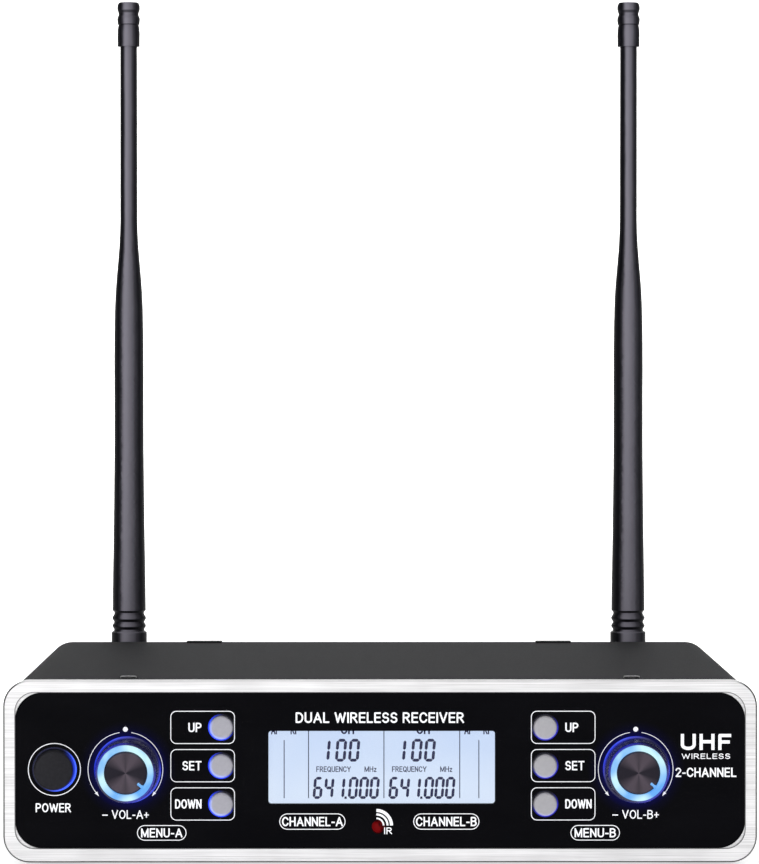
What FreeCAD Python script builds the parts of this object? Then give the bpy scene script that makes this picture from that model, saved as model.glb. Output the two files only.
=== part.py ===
"""A dual-channel wireless microphone receiver: a low desktop case with a silver front frame, a black
control panel, a backlit display, two lit volume knobs, six menu buttons, a power button and two
folding whip antennas on bayonet jacks at the back.

Units are millimetres. +X is to the right of somebody facing the front panel, +Y runs from the front
to the back and +Z is up. The origin is on the surface the receiver stands on, under the centre of
the whole object's depth and width.
"""
import FreeCAD, Part
import math
import os

V = FreeCAD.Vector

# ---- driving dimensions: the case ----
FRAME_W = 200.6
FRAME_H = 48.6
FRAME_R = 7.0
FRAME_T = 6.0
LIP_T = 2.4                      # the frame's full outline is this deep; the rest fits in the cover
FOOT_H = 2.2
FRAME_Z = 1.6                    # the frame hangs a little lower than the cover behind it
BODY_D = 154.0                   # front face of the frame to the back end of the cover
COVER_W = 198.6
COVER_TOP = 50.1
COVER_R = 7.0
SHEET = 1.2                      # thickness of the sheet-metal parts
SPIGOT = 8.0                     # how far the frame's spigot reaches into the cover
SPIGOT_T = 1.8
SLIP = 0.15                      # clearance between parts that slide together

# ---- driving dimensions: the control panel ----
PANEL_W = 194.3
PANEL_H = 41.6
PANEL_R = 7.2
PANEL_T = 1.6
RECESS = 0.5                     # the panel lies this far behind the frame's front face
RECESS_R = 5.2                   # corner radius of the shallow recess, tighter than the panel's
OPENING_W = 187.0
OPENING_H = 36.0
GUIDE_T = 0.9                    # plate of the light guides behind the panel

CENTRE_Z = (FOOT_H + COVER_TOP) / 2         # of the cover and the panel
WINDOW = (0.4, 26.95, 60.3, 19.4, 0.8)     # centre x, centre z, width, height, corner radius
POWER_X, POWER_Z = -86.7, 26.4
KNOB_Z = 26.4
KNOB_X = {"a": -67.2, "b": 68.15}
MENU_X = {"a": -42.3, "b": 43.9}
MENU_Z = {"up": 37.6, "set": 27.4, "down": 17.2}
IR_X, IR_Z = -0.5, 11.1

BUTTON_R = 3.1
MENU_HOLE_R = 3.55
POWER_R = 5.4
POWER_HOLE_R = 5.95
KNOB_REACH = 10.4                # front of the knobs ahead of the frame's front face
KNOB_BASE_R = 8.9
KNOB_FACE_R = 7.6
KNOB_CAP_R = 5.7
SHAFT_R = 3.0
POINTER_DEG = 130.0              # clockwise from the top, as seen from the front

# ---- driving dimensions: the back and the antennas ----
ANTENNA_X = 76.5
ANTENNA_Z = 32.0                 # axis of the bayonet jack and the swivel
PIVOT_REACH = 22.0               # fold pivot behind the outer face of the rear panel
EAR_R = 5.4
COLLAR_R = 5.4
COLLAR_BOTTOM, COLLAR_TOP = 40.0, 51.9
CAP_BOTTOM, TIP_Z = 231.0, 244.45
ROD_R, ROD_TOP_R = 2.62, 2.58
XLR_X, JACK_Z, DC_X = 38.0, 26.3, 60.0
TAB_X = 52.5

# ---- fasteners ----
M3_R, M3_HOLE_R, M3_HEAD_R, M3_HEAD_H, M3_L = 1.45, 1.5, 2.2, 0.5, 3.15
M2_R, M2_HOLE_R, M2_HEAD_R, M2_HEAD_H, M2_L = 0.85, 0.9, 1.8, 1.2, 5.5

# ---- planes along the depth, with the whole object centred on y = 0 ----
DEPTH = KNOB_REACH + BODY_D + SHEET + PIVOT_REACH + EAR_R
FRONT = KNOB_REACH - DEPTH / 2
PANEL_FRONT = FRONT + RECESS
PANEL_BACK = PANEL_FRONT + PANEL_T
GUIDE_FRONT = PANEL_BACK + 0.2
GUIDE_BACK = GUIDE_FRONT + GUIDE_T
LIP_BACK = FRONT + LIP_T
FRAME_BACK = FRONT + FRAME_T
SPIGOT_BACK = FRAME_BACK + SPIGOT
BOARD_FRONT = FRONT + 11.0
BOARD_BACK = BOARD_FRONT + 1.6
COVER_BACK = FRONT + BODY_D
REAR = COVER_BACK + SHEET
PIVOT_Y = REAR + PIVOT_REACH

# ---- heights and widths that several parts share ----
COVER_H = COVER_TOP - FOOT_H
LIP_X = 79.6                     # the cover's bottom lips run from its sides in to here
PLATE_Z = FOOT_H + SHEET         # the chassis plate lies on the lips
PLATE_TOP = PLATE_Z + SHEET
MAIN_BOARD_Z = PLATE_TOP + 4.0
MAIN_BOARD_TOP = MAIN_BOARD_Z + 1.6
SIDE_X = 86.0                    # feet and bottom screws are this far out
TOP_SCREW_X = 67.5
SCREW_Y = FRONT + 10.0
FRONT_POSTS = [(x, CENTRE_Z + s * 18.8) for x in (-90.0, -34.0, 34.0, 90.0) for s in (-1, 1)]
STANDOFFS = [(x, FRONT + y) for x in (-80.0, 0.0, 80.0) for y in (34.0, 116.0)]
XLR_SCREW_DX, XLR_SCREW_DZ = 9.5, 12.0
REAR_SCREWS = [(-60.0, 8.4), (0.0, 8.4), (60.0, 8.4)]


# ---- shape helpers ----
def box(x0, x1, y0, y1, z0, z1):
    return Part.makeBox(x1 - x0, y1 - y0, z1 - z0, V(x0, y0, z0))


def cyl_x(r, x0, x1, y, z):
    return Part.makeCylinder(r, x1 - x0, V(x0, y, z), V(1, 0, 0))


def cyl_y(r, y0, y1, x, z):
    return Part.makeCylinder(r, y1 - y0, V(x, y0, z), V(0, 1, 0))


def cyl_z(r, z0, z1, x, y):
    return Part.makeCylinder(r, z1 - z0, V(x, y, z0), V(0, 0, 1))


def tube_y(r_in, r_out, y0, y1, x, z):
    return cyl_y(r_out, y0, y1, x, z).cut(cyl_y(r_in, y0 - 1, y1 + 1, x, z))


def rounded(w, h, r, y0, y1, x=0.0, z=CENTRE_Z):
    """A plate with a rounded rectangular outline in XZ, between two planes along Y."""
    plate = box(x - w / 2, x + w / 2, y0, y1, z - h / 2, z + h / 2)
    corners = [e for e in plate.Edges if abs(e.Vertexes[0].Y - e.Vertexes[1].Y) > 1e-6]
    return plate.makeFillet(r, corners)


def hexagon_y(across, y0, y1, x, z):
    r = across / math.sqrt(3)
    points = [V(x + r * math.sin(a), y0, z + r * math.cos(a))
              for a in (math.radians(60 * k) for k in range(7))]
    return Part.Face(Part.makePolygon(points)).extrude(V(0, y1 - y0, 0))


def revolve_y(profile, x, z):
    """Turns a closed outline of (radius, y) about the line along Y through x, z."""
    points = [V(x + r, y, z) for r, y in profile]
    face = Part.Face(Part.makePolygon(points + points[:1]))
    return face.revolve(V(x, 0, z), V(0, 1, 0), 360)


def revolve_z(edges, x, y):
    """Turns a closed loop of edges, drawn in the plane through x, y that is normal to Y."""
    face = Part.Face(Part.Wire(edges))
    return face.revolve(V(x, y, 0), V(0, 0, 1), 360)


def fuse(shapes):
    whole = shapes[0].fuse(shapes[1:]) if len(shapes) > 1 else shapes[0]
    return whole.removeSplitter()


def cut(shape, tools):
    return shape.cut(Part.makeCompound(tools))


def export(name, *solids):
    shape = solids[0] if len(solids) == 1 else Part.makeCompound(list(solids))
    shape.exportStep(f"parts/{name}.step")
    print(f"{name:26s} {len(shape.Solids):3d} solids {shape.Volume:10.1f} mm3")


# ---- fasteners ----
def screw(at, way, r, head_r, head_h, length):
    """A pan-head screw with its head's underside at `at` and its shank along `way`."""
    at, way = V(*at), V(*way)
    shank = Part.makeCylinder(r, length, at, way)
    head = Part.makeCylinder(head_r, head_h, at - way * head_h, way)
    rim = [e for e in head.Edges if isinstance(e.Curve, Part.Circle)
           and (e.Curve.Center - (at - way * head_h)).Length < 1e-6]
    head = head.makeFillet(head_h * 0.6, rim)
    side = way.cross(V(0.3, 0.5, 0.8)).normalize()
    for direction in (side, way.cross(side)):
        slot = Part.makeBox(head_r * 1.1, head_r * 0.26, head_h,
                            V(-head_r * 0.55, -head_r * 0.13, -head_h * 0.5))
        turn = FreeCAD.Rotation(direction, way.cross(direction), way, "ZXY")
        slot.Placement = FreeCAD.Placement(at - way * head_h, turn)
        head = head.cut(slot)
    return head.fuse(shank).removeSplitter()


def m3(at, way):
    return screw(at, way, M3_R, M3_HEAD_R, M3_HEAD_H, M3_L)


def m2(at, way):
    return screw(at, way, M2_R, M2_HEAD_R, M2_HEAD_H, M2_L)


FRONT_SCREWS = (
    [((s * TOP_SCREW_X, SCREW_Y, COVER_TOP), (0, 0, -1)) for s in (-1, 1)]
    + [((s * COVER_W / 2, SCREW_Y, CENTRE_Z), (-s, 0, 0)) for s in (-1, 1)]
    + [((s * SIDE_X, SCREW_Y, FOOT_H), (0, 0, 1)) for s in (-1, 1)]
)
BOTTOM_SCREWS = [((s * SIDE_X, FRONT + y, FOOT_H), (0, 0, 1)) for s in (-1, 1) for y in (45, 112)]
BACK_SCREWS = [((x, REAR, z), (0, -1, 0)) for x, z in REAR_SCREWS]
XLR_SCREWS = [((s * XLR_X + k * XLR_SCREW_DX, REAR + 2.0, JACK_Z - k * XLR_SCREW_DZ), (0, -1, 0))
              for s in (-1, 1) for k in (-1, 1)]
CASE_SCREWS = FRONT_SCREWS + BOTTOM_SCREWS + BACK_SCREWS + XLR_SCREWS


def screw_holes(places):
    """Clearance bores on the axes of the given M3 screws."""
    return [Part.makeCylinder(M3_HOLE_R, 9.0, V(*at) - V(*way) * 3.0, V(*way)) for at, way in places]


# ---- the case ----
def front_frame():
    """A brushed lip with a shallow recess and a seat for the panel, and a block and a spigot
    behind it that fit inside the cover."""
    slip_w, slip_h = COVER_W - 2 * (SHEET + SLIP), COVER_H - 2 * (SHEET + SLIP)
    slip_r = COVER_R - SHEET - SLIP
    lip = rounded(FRAME_W, FRAME_H, FRAME_R, FRONT, LIP_BACK, z=FRAME_Z + FRAME_H / 2)
    rim = [e for e in lip.Edges if all(abs(v.Y - FRONT) < 1e-6 for v in e.Vertexes)]
    block = rounded(slip_w, slip_h, slip_r, LIP_BACK - 0.3, FRAME_BACK)
    ring = cut(fuse([lip.makeChamfer(0.4, rim), block]), [
        rounded(PANEL_W, PANEL_H, RECESS_R, FRONT - 1, PANEL_FRONT),
        rounded(PANEL_W, PANEL_H, PANEL_R, FRONT, PANEL_BACK),
        rounded(OPENING_W, OPENING_H, 4.0, FRONT, FRAME_BACK + 1),
    ])
    spigot = rounded(slip_w, slip_h, slip_r, FRAME_BACK, SPIGOT_BACK).cut(
        rounded(slip_w - 2 * SPIGOT_T, slip_h - 2 * SPIGOT_T, slip_r - SPIGOT_T,
                FRAME_BACK - 1, SPIGOT_BACK + 1))
    posts = [cyl_y(2.2, FRAME_BACK - 0.5, BOARD_FRONT, x, z) for x, z in FRONT_POSTS]
    frame = fuse([ring, spigot] + posts)
    pilots = [cyl_y(M2_HOLE_R, BOARD_FRONT - 4.5, BOARD_FRONT + 1, x, z) for x, z in FRONT_POSTS]
    return cut(frame, pilots + screw_holes(FRONT_SCREWS))


def cover_section(y0, y1, inset=0.0):
    return rounded(COVER_W - 2 * inset, COVER_H - 2 * inset, COVER_R - inset, y0, y1)


def top_cover():
    """A wrap of sheet metal: top, both sides and a narrow lip along each side of the bottom."""
    wrap = cover_section(LIP_BACK, COVER_BACK).cut(
        cover_section(LIP_BACK - 1, COVER_BACK + 1, SHEET))
    floor = box(-LIP_X, LIP_X, LIP_BACK - 1, COVER_BACK + 1, FOOT_H - 1, PLATE_Z + 1)
    return cut(wrap, [floor] + screw_holes(FRONT_SCREWS + BOTTOM_SCREWS))


def bottom_chassis():
    """The tray that carries the main board, with a turned-up flange behind for the rear panel."""
    y0 = SPIGOT_BACK + 0.3
    plate = box(-92.0, 92.0, y0, COVER_BACK, PLATE_Z, PLATE_TOP)
    front_lip = box(-60.0, 60.0, y0, y0 + SHEET, PLATE_Z, PLATE_TOP + 3.0)
    rear_lip = box(-70.0, 70.0, COVER_BACK - SHEET, COVER_BACK, PLATE_Z, PLATE_TOP + 7.0)
    rear_lip = cut(rear_lip, [box(s * XLR_X - 14, s * XLR_X + 14, COVER_BACK - 3, COVER_BACK + 1,
                                  PLATE_TOP + 4.0, PLATE_TOP + 9.0) for s in (-1, 1)])
    return cut(fuse([plate, front_lip, rear_lip]), screw_holes(BOTTOM_SCREWS + BACK_SCREWS))


def rubber_foot(x, y):
    foot = Part.makeCone(5.5, 6.0, FOOT_H, V(x, y, 0), V(0, 0, 1))
    rim = [e for e in foot.Edges if all(abs(v.Z) < 1e-6 for v in e.Vertexes)]
    return foot.makeFillet(0.5, rim)


def rear_panel():
    plate = cover_section(COVER_BACK, REAR)
    tabs = [box(s * TAB_X - 5.25, s * TAB_X + 5.25, COVER_BACK - 4.0, REAR, COVER_TOP, COVER_TOP + 0.4)
            for s in (-1, 1)]
    necks = [box(s * TAB_X - 5.25, s * TAB_X + 5.25, COVER_BACK, REAR, COVER_TOP - 1.0,
                 COVER_TOP + 0.4) for s in (-1, 1)]
    holes = [cyl_y(4.8, COVER_BACK - 1, REAR + 1, s * ANTENNA_X, ANTENNA_Z) for s in (-1, 1)]
    holes += [cyl_y(11.9, COVER_BACK - 1, REAR + 1, s * XLR_X, JACK_Z) for s in (-1, 1)]
    holes += [cyl_y(4.7, COVER_BACK - 1, REAR + 1, 0, JACK_Z)]
    holes += [cyl_y(4.1, COVER_BACK - 1, REAR + 1, DC_X, JACK_Z)]
    return cut(fuse([plate] + tabs + necks), holes + screw_holes(BACK_SCREWS + XLR_SCREWS))


# ---- the control panel and what shows through it ----
def front_panel():
    x, z, w, h, r = WINDOW
    panel = rounded(PANEL_W - 0.2, PANEL_H - 0.2, PANEL_R - 0.1, PANEL_FRONT, PANEL_BACK)
    holes = [rounded(w, h, r, PANEL_FRONT - 1, PANEL_BACK + 1, x, z)]
    holes += [cyl_y(POWER_HOLE_R, PANEL_FRONT - 1, PANEL_BACK + 1, POWER_X, POWER_Z)]
    holes += [cyl_y(6.5, PANEL_FRONT - 1, PANEL_BACK + 1, kx, KNOB_Z) for kx in KNOB_X.values()]
    holes += [cyl_y(MENU_HOLE_R, PANEL_FRONT - 1, PANEL_BACK + 1, mx, mz)
              for mx in MENU_X.values() for mz in MENU_Z.values()]
    holes += [cyl_y(1.8, PANEL_FRONT - 1, PANEL_BACK + 1, IR_X, IR_Z)]
    return cut(panel, holes)


def display_window():
    x, z, w, h, r = WINDOW
    return rounded(w - 0.1, h - 0.1, r - 0.05, PANEL_FRONT, PANEL_BACK, x, z)


def lcd_glass():
    x, z, w, h, r = WINDOW
    front, rear = GUIDE_FRONT, GUIDE_FRONT + 1.0
    return fuse([rounded(w + 2.6, h + 2.4, 0.4, front, rear, x, z),
                 rounded(w + 2.6, h + 4.4, 0.4, rear, rear + 1.0, x, z)])


def lcd_backlight():
    """The moulded frame behind the glass, which holds it and stands on the front board."""
    x, z, w, h, r = WINDOW
    y0 = GUIDE_FRONT
    holder = rounded(w + 5.4, h + 7.2, 1.0, y0, BOARD_FRONT, x, z)
    seat = rounded(w + 2.8, h + 4.6, 0.5, y0 - 1, y0 + 2.1, x, z)
    return holder.cut(seat)


def collar_guide(x, zs, outer_r, wall, plate):
    """Clear collars that carry light to the gap round each button, joined by a plate behind."""
    parts = [plate] + [cyl_y(outer_r, PANEL_FRONT + 0.3, GUIDE_FRONT + 0.1, x, z) for z in zs]
    return cut(fuse(parts), [cyl_y(outer_r - wall, PANEL_FRONT - 1, GUIDE_BACK + 1, x, z) for z in zs])


def menu_light_guide(side):
    x, zs = MENU_X[side], list(MENU_Z.values())
    plate = rounded(11.0, 32.0, 2.0, GUIDE_FRONT, GUIDE_BACK, x, MENU_Z["set"])
    return collar_guide(x, zs, MENU_HOLE_R - 0.05, 0.25, plate)


def power_light_ring():
    plate = cyl_y(6.7, GUIDE_FRONT, GUIDE_BACK, POWER_X, POWER_Z)
    return collar_guide(POWER_X, [POWER_Z], POWER_HOLE_R - 0.05, 0.35, plate)


def knob_light_guide(side):
    x = KNOB_X[side]
    guide = fuse([cyl_y(6.4, PANEL_FRONT + 0.3, GUIDE_FRONT + 0.1, x, KNOB_Z),
                  cyl_y(8.0, GUIDE_FRONT, GUIDE_BACK, x, KNOB_Z)])
    return guide.cut(cyl_y(3.8, PANEL_FRONT - 1, GUIDE_BACK + 1, x, KNOB_Z))


def push_button(x, z, r, reach, round_over, flange, stem_r, stem_end):
    """A cap with a retaining flange behind the panel and a stem that enters its switch."""
    tip, back = PANEL_FRONT - reach, GUIDE_BACK + 0.2
    cap = cyl_y(r, tip, back + 0.1, x, z)
    rim = [e for e in cap.Edges if isinstance(e.Curve, Part.Circle)
           and abs(e.Curve.Center.y - tip) < 1e-6]
    cap = cap.makeFillet(round_over, rim)
    return fuse([cap, cyl_y(flange, back, back + 0.8, x, z), cyl_y(stem_r, back, stem_end, x, z)])


def menu_button(side, name):
    return push_button(MENU_X[side], MENU_Z[name], BUTTON_R, 2.0, 0.7, 4.2, 1.6, FRONT + 8.6)


def power_button():
    return push_button(POWER_X, POWER_Z, POWER_R, 2.8, 0.9, 6.5, 2.4, FRONT + 8.0)


def switch_body(x, z, half, y0, bore, bore_end):
    body = box(x - half, x + half, y0, BOARD_FRONT, z - half, z + half)
    return body.cut(cyl_y(bore, y0 - 1, bore_end, x, z))


def tact_switch(side, name):
    return switch_body(MENU_X[side], MENU_Z[name], 3.0, FRONT + 7.4, 1.8, FRONT + 9.8)


def power_switch():
    return switch_body(POWER_X, POWER_Z, 5.6, FRONT + 6.8, 2.6, FRONT + 10.2)


def potentiometer(side):
    x = KNOB_X[side]
    body = box(x - 4.9, x + 4.9, FRONT + 5.4, BOARD_FRONT, KNOB_Z - 6.4, KNOB_Z + 5.4)
    bush = cyl_y(3.6, FRONT + 1.4, FRONT + 5.5, x, KNOB_Z)
    return fuse([body, bush]).cut(cyl_y(SHAFT_R + 0.05, FRONT, FRONT + 10.0, x, KNOB_Z))


def knob_shaft(side):
    x = KNOB_X[side]
    shaft = cyl_y(SHAFT_R, FRONT - 8.0, FRONT + 9.6, x, KNOB_Z)
    flat = box(x + 1.5, x + 4, FRONT - 9.0, FRONT - 0.5, KNOB_Z - 4, KNOB_Z + 4)
    return shaft.cut(flat)


def knob_skirt(side):
    """The grip: a base flange, a tapering side, a groove for the light ring and a hub."""
    x = KNOB_X[side]
    outline = [(0, FRONT + 0.3), (KNOB_BASE_R, FRONT + 0.3), (KNOB_BASE_R, FRONT - 0.6),
               (8.4, FRONT - 0.9), (7.95, FRONT - 9.7), (KNOB_FACE_R, FRONT - 10.2),
               (0, FRONT - 10.2)]
    hollows = [
        tube_y(4.6, 7.4, FRONT - 5.4, FRONT + 1, x, KNOB_Z),
        tube_y(5.75, 7.4, FRONT - 11, FRONT - 6.5, x, KNOB_Z),
        cyl_y(5.8, FRONT - 11, FRONT - 9.0, x, KNOB_Z),
        knob_shaft(side),
    ]
    return cut(revolve_y(outline, x, KNOB_Z), hollows)


def pointer_bar(side, r0, r1, width, y0, y1):
    """A radial bar on the knob's face, at the pointer's angle."""
    bar = box(-width / 2, width / 2, y0, y1, r0, r1)
    bar.rotate(V(0, 0, 0), V(0, 1, 0), POINTER_DEG)
    return bar.translated(V(KNOB_X[side], 0, KNOB_Z))


def knob_light_ring(side):
    ring = tube_y(5.8, 7.35, FRONT - 10.4, FRONT - 6.6, KNOB_X[side], KNOB_Z)
    return fuse([ring, pointer_bar(side, 3.9, 6.0, 1.0, FRONT - 10.4, FRONT - 9.2)])


def knob_cap(side):
    disc = cyl_y(KNOB_CAP_R, FRONT - 10.2, FRONT - 9.05, KNOB_X[side], KNOB_Z)
    rim = [e for e in disc.Edges if isinstance(e.Curve, Part.Circle)
           and e.Curve.Center.y < FRONT - 10.0]
    disc = disc.makeChamfer(0.25, rim)
    return disc.cut(pointer_bar(side, 3.8, 7.0, 1.2, FRONT - 11, FRONT - 8))


def ir_emitter():
    lens = revolve_y([(0, PANEL_FRONT + 0.1), (0.9, PANEL_FRONT + 0.25), (1.5, PANEL_FRONT + 0.8),
                      (1.7, PANEL_FRONT + 1.6), (1.7, FRONT + 5.0), (2.1, FRONT + 5.0),
                      (2.1, FRONT + 6.0), (0, FRONT + 6.0)], IR_X, IR_Z)
    leads = [cyl_y(0.3, FRONT + 5.5, BOARD_FRONT, IR_X + s * 1.27, IR_Z) for s in (-1, 1)]
    return fuse([lens] + leads)


# ---- the electronics ----
def front_board():
    board = rounded(185.0, 40.4, 2.0, BOARD_FRONT, BOARD_BACK)
    holes = [cyl_y(1.1, BOARD_FRONT - 1, BOARD_BACK + 1, x, z) for x, z in FRONT_POSTS]
    return cut(board, holes)


def main_board():
    board = box(-88.0, 88.0, FRONT + 22.0, FRONT + 122.0, MAIN_BOARD_Z, MAIN_BOARD_TOP)
    return cut(board, [cyl_z(1.1, MAIN_BOARD_Z - 1, MAIN_BOARD_TOP + 1, x, y) for x, y in STANDOFFS])


def board_standoff(x, y):
    return cyl_z(2.6, PLATE_TOP, MAIN_BOARD_Z, x, y).cut(
        cyl_z(M2_HOLE_R, PLATE_TOP - 1, MAIN_BOARD_Z + 1, x, y))


def board_screws():
    rear = [m2((x, BOARD_BACK, z), (0, -1, 0)) for x, z in FRONT_POSTS]
    top = [m2((x, y, MAIN_BOARD_TOP), (0, 0, -1)) for x, y in STANDOFFS]
    return rear + top


def tuner_shield(s):
    x, y0, z0 = s * 60.0, FRONT + 78.0, MAIN_BOARD_TOP
    can = box(x - 23, x + 23, y0, y0 + 36, z0, z0 + 9.0)
    top = [e for e in can.Edges if abs(e.Vertexes[0].Z - e.Vertexes[1].Z) > 1e-6]
    can = can.makeFillet(1.2, top)
    return can.cut(box(x - 22.5, x + 22.5, y0 + 0.5, y0 + 35.5, z0 - 1, z0 + 8.5))


def board_components():
    """Ribbon headers, audio chips, smoothing capacitors and the voltage regulator's heat sink."""
    z = MAIN_BOARD_TOP
    parts = [box(-13, 13, BOARD_BACK, BOARD_BACK + 2.4, 23.4, 28.4),
             box(-13, 13, FRONT + 25.0, FRONT + 29.0, z, z + 3.5)]
    for x in (-58.0, -22.0, 22.0, 58.0):
        parts.append(box(x - 5, x + 5, FRONT + 52, FRONT + 62, z, z + 1.6))
    for x, y, r, h in ((50, 38, 5.0, 14.0), (64, 38, 5.0, 14.0), (-40, 38, 4.0, 10.0),
                       (-52, 38, 4.0, 10.0), (-8, 80, 3.2, 8.0), (8, 80, 3.2, 8.0)):
        can = cyl_z(r, z, z + h, x, FRONT + y)
        rim = [e for e in can.Edges if all(abs(v.Z - z - h) < 1e-6 for v in e.Vertexes)]
        parts.append(can.makeFillet(0.6, rim))
    sink = box(-9, 9, FRONT + 100, FRONT + 110, z, z + 16)
    fins = [box(-9 + k, -7.6 + k, FRONT + 102, FRONT + 111, z + 1, z + 17) for k in (2, 5.3, 8.6, 11.9)]
    parts.append(cut(sink, fins))
    return parts


def ribbon_cable():
    """A flat cable that leaves the front board level and turns down into the main board."""
    y, z, r, t = BOARD_BACK + 2.4, MAIN_BOARD_TOP + 3.5, 12.0, 0.4
    ring = Part.makeCylinder(r + t, 24.0, V(-12, y, z), V(1, 0, 0))
    ring = ring.cut(Part.makeCylinder(r - t, 26.0, V(-13, y, z), V(1, 0, 0)))
    return ring.common(box(-12, 12, y, y + 14, z, z + 14))


def filleted_path(points, radius):
    """Straight runs joined by tangent arcs."""
    edges, start = [], points[0]
    for k in range(1, len(points) - 1):
        back = (points[k - 1] - points[k]).normalize()
        ahead = (points[k + 1] - points[k]).normalize()
        half = back.getAngle(ahead) / 2
        setback = radius / math.tan(half)
        a, b = points[k] + back * setback, points[k] + ahead * setback
        to_centre = (back + ahead).normalize()
        middle = points[k] + to_centre * (radius / math.sin(half) - radius)
        edges += [Part.LineSegment(start, a).toShape(), Part.Arc(a, middle, b).toShape()]
        start = b
    edges.append(Part.LineSegment(start, points[-1]).toShape())
    return Part.Wire(edges)


def antenna_lead(s):
    """Coaxial lead from the back of an antenna jack down to its tuner."""
    x, radius = s * ANTENNA_X, 1.1
    points = [V(x, REAR - 9.0, ANTENNA_Z), V(x, REAR - 20.0, ANTENNA_Z),
              V(x, REAR - 24.0, MAIN_BOARD_TOP + 4.6), V(x, FRONT + 114.0, MAIN_BOARD_TOP + 4.6)]
    route = filleted_path(points, 6.0)
    section = Part.Wire(Part.makeCircle(radius, points[0], V(0, 1, 0)))
    return route.makePipeShell([section], True, False)


# ---- sockets at the back ----
def antenna_jack(s):
    x, z = s * ANTENNA_X, ANTENNA_Z
    body = fuse([
        cyl_y(4.7, REAR - 9.0, REAR + 2.5, x, z),
        hexagon_y(12.5, COVER_BACK - 2.0, COVER_BACK, x, z),
        cyl_y(4.8, REAR + 2.2, REAR + 12.4, x, z),
        cyl_x(1.0, x - 5.4, x + 5.4, REAR + 8.6, z),
    ])
    body = body.cut(cyl_y(4.06, REAR + 4.4, REAR + 13, x, z))
    return fuse([body, cyl_y(1.0, REAR + 4.0, REAR + 9.0, x, z)])


def panel_nuts():
    nuts = [hexagon_y(13.0, REAR, REAR + 2.1, s * ANTENNA_X, ANTENNA_Z).cut(
        cyl_y(4.75, REAR - 1, REAR + 3, s * ANTENNA_X, ANTENNA_Z)) for s in (-1, 1)]
    nuts.append(hexagon_y(12.5, REAR, REAR + 2.4, 0, JACK_Z).cut(
        cyl_y(4.65, REAR - 1, REAR + 3, 0, JACK_Z)))
    return nuts


def xlr_shell(s):
    x, z = s * XLR_X, JACK_Z
    shell = fuse([rounded(26.0, 31.0, 3.0, REAR, REAR + 2.0, x, z),
                  cyl_y(11.8, REAR - 16.0, REAR + 0.5, x, z)])
    holes = [Part.makeCylinder(M3_HOLE_R, 6, V(*at) - V(*way) * 3, V(*way)) for at, way in XLR_SCREWS]
    return cut(shell, [cyl_y(9.5, REAR - 17, REAR + 3, x, z)] + holes)


def xlr_pin_places(s):
    return [(s * XLR_X + 5.2 * math.sin(math.radians(a)), JACK_Z + 5.2 * math.cos(math.radians(a)))
            for a in (-60, 60, 180)]


def xlr_insert(s):
    disc = cyl_y(9.45, REAR - 16.0, REAR - 12.5, s * XLR_X, JACK_Z)
    return cut(disc, [cyl_y(1.2, REAR - 17, REAR - 12, x, z) for x, z in xlr_pin_places(s)])


def xlr_pins(s):
    return [cyl_y(1.2, REAR - 20.0, REAR - 1.5, x, z) for x, z in xlr_pin_places(s)]


def mix_jack():
    body = fuse([box(-7.5, 7.5, REAR - 26.5, COVER_BACK - 0.2, JACK_Z - 6.5, JACK_Z + 6.5),
                 cyl_y(4.6, COVER_BACK - 1, REAR + 4.4, 0, JACK_Z)])
    return body.cut(cyl_y(3.25, REAR - 24.6, REAR + 5, 0, JACK_Z))


def dc_inlet():
    body = fuse([box(DC_X - 4.5, DC_X + 4.5, REAR - 14.0, COVER_BACK, JACK_Z - 6.5, JACK_Z + 4.5),
                 cyl_y(4.0, COVER_BACK - 1, REAR + 0.6, DC_X, JACK_Z)])
    body = body.cut(cyl_y(2.8, REAR - 9.0, REAR + 1, DC_X, JACK_Z))
    return fuse([body, cyl_y(1.0, REAR - 9.5, REAR - 0.6, DC_X, JACK_Z)])


# ---- the antennas ----
def coupling_nut(s):
    """The bayonet sleeve: an inner groove that the jack's studs run in, and a fluted grip."""
    x, z = s * ANTENNA_X, ANTENNA_Z
    y0, y1 = REAR + 2.8, REAR + 14.8
    sleeve = revolve_y([(0, y0), (6.9, y0), (7.2, y0 + 0.3), (7.2, y1 - 0.5), (6.7, y1), (0, y1)], x, z)
    hollow = [cyl_y(5.05, y0 - 1, y1 + 1, x, z), cyl_y(5.7, y0 + 1.8, y1 - 3.2, x, z),
              box(x - 5.65, x + 5.65, y0 - 1, y0 + 2, z - 1.2, z + 1.2),
              cyl_x(1.25, x - 8, x + 8, REAR + 8.6, z)]
    flutes = []
    for k in range(18):
        a = math.radians(20 * k + 10)
        flutes.append(cyl_y(0.75, REAR + 10.4, y1 + 1, x + 7.45 * math.cos(a), z + 7.45 * math.sin(a)))
    return cut(sleeve, hollow + flutes)


def antenna_elbow(s):
    """The swivelling base: a contact sleeve in the jack, a flange and a fork for the fold pivot."""
    x, z = s * ANTENNA_X, ANTENNA_Z
    sleeve = tube_y(3.3, 3.98, REAR + 5.2, REAR + 13.0, x, z)
    barrel = cyl_y(4.9, REAR + 12.8, REAR + 15.4, x, z)
    flange = revolve_y([(0, REAR + 15.2), (6.6, REAR + 15.2), (6.9, REAR + 15.5),
                        (6.9, REAR + 17.0), (0, REAR + 17.0)], x, z)
    fork = fuse([cyl_x(EAR_R, x - 5.6, x + 5.6, PIVOT_Y, z),
                 box(x - 5.6, x + 5.6, REAR + 16.8, PIVOT_Y, z - EAR_R, z + EAR_R)])
    fork = fork.cut(box(x - 2.3, x + 2.3, REAR + 17.0, PIVOT_Y + 7, z - 7, z + 7))
    elbow = fuse([sleeve, barrel, flange, fork])
    return elbow.cut(cyl_x(1.25, x - 8, x + 8, PIVOT_Y, z))


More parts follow.
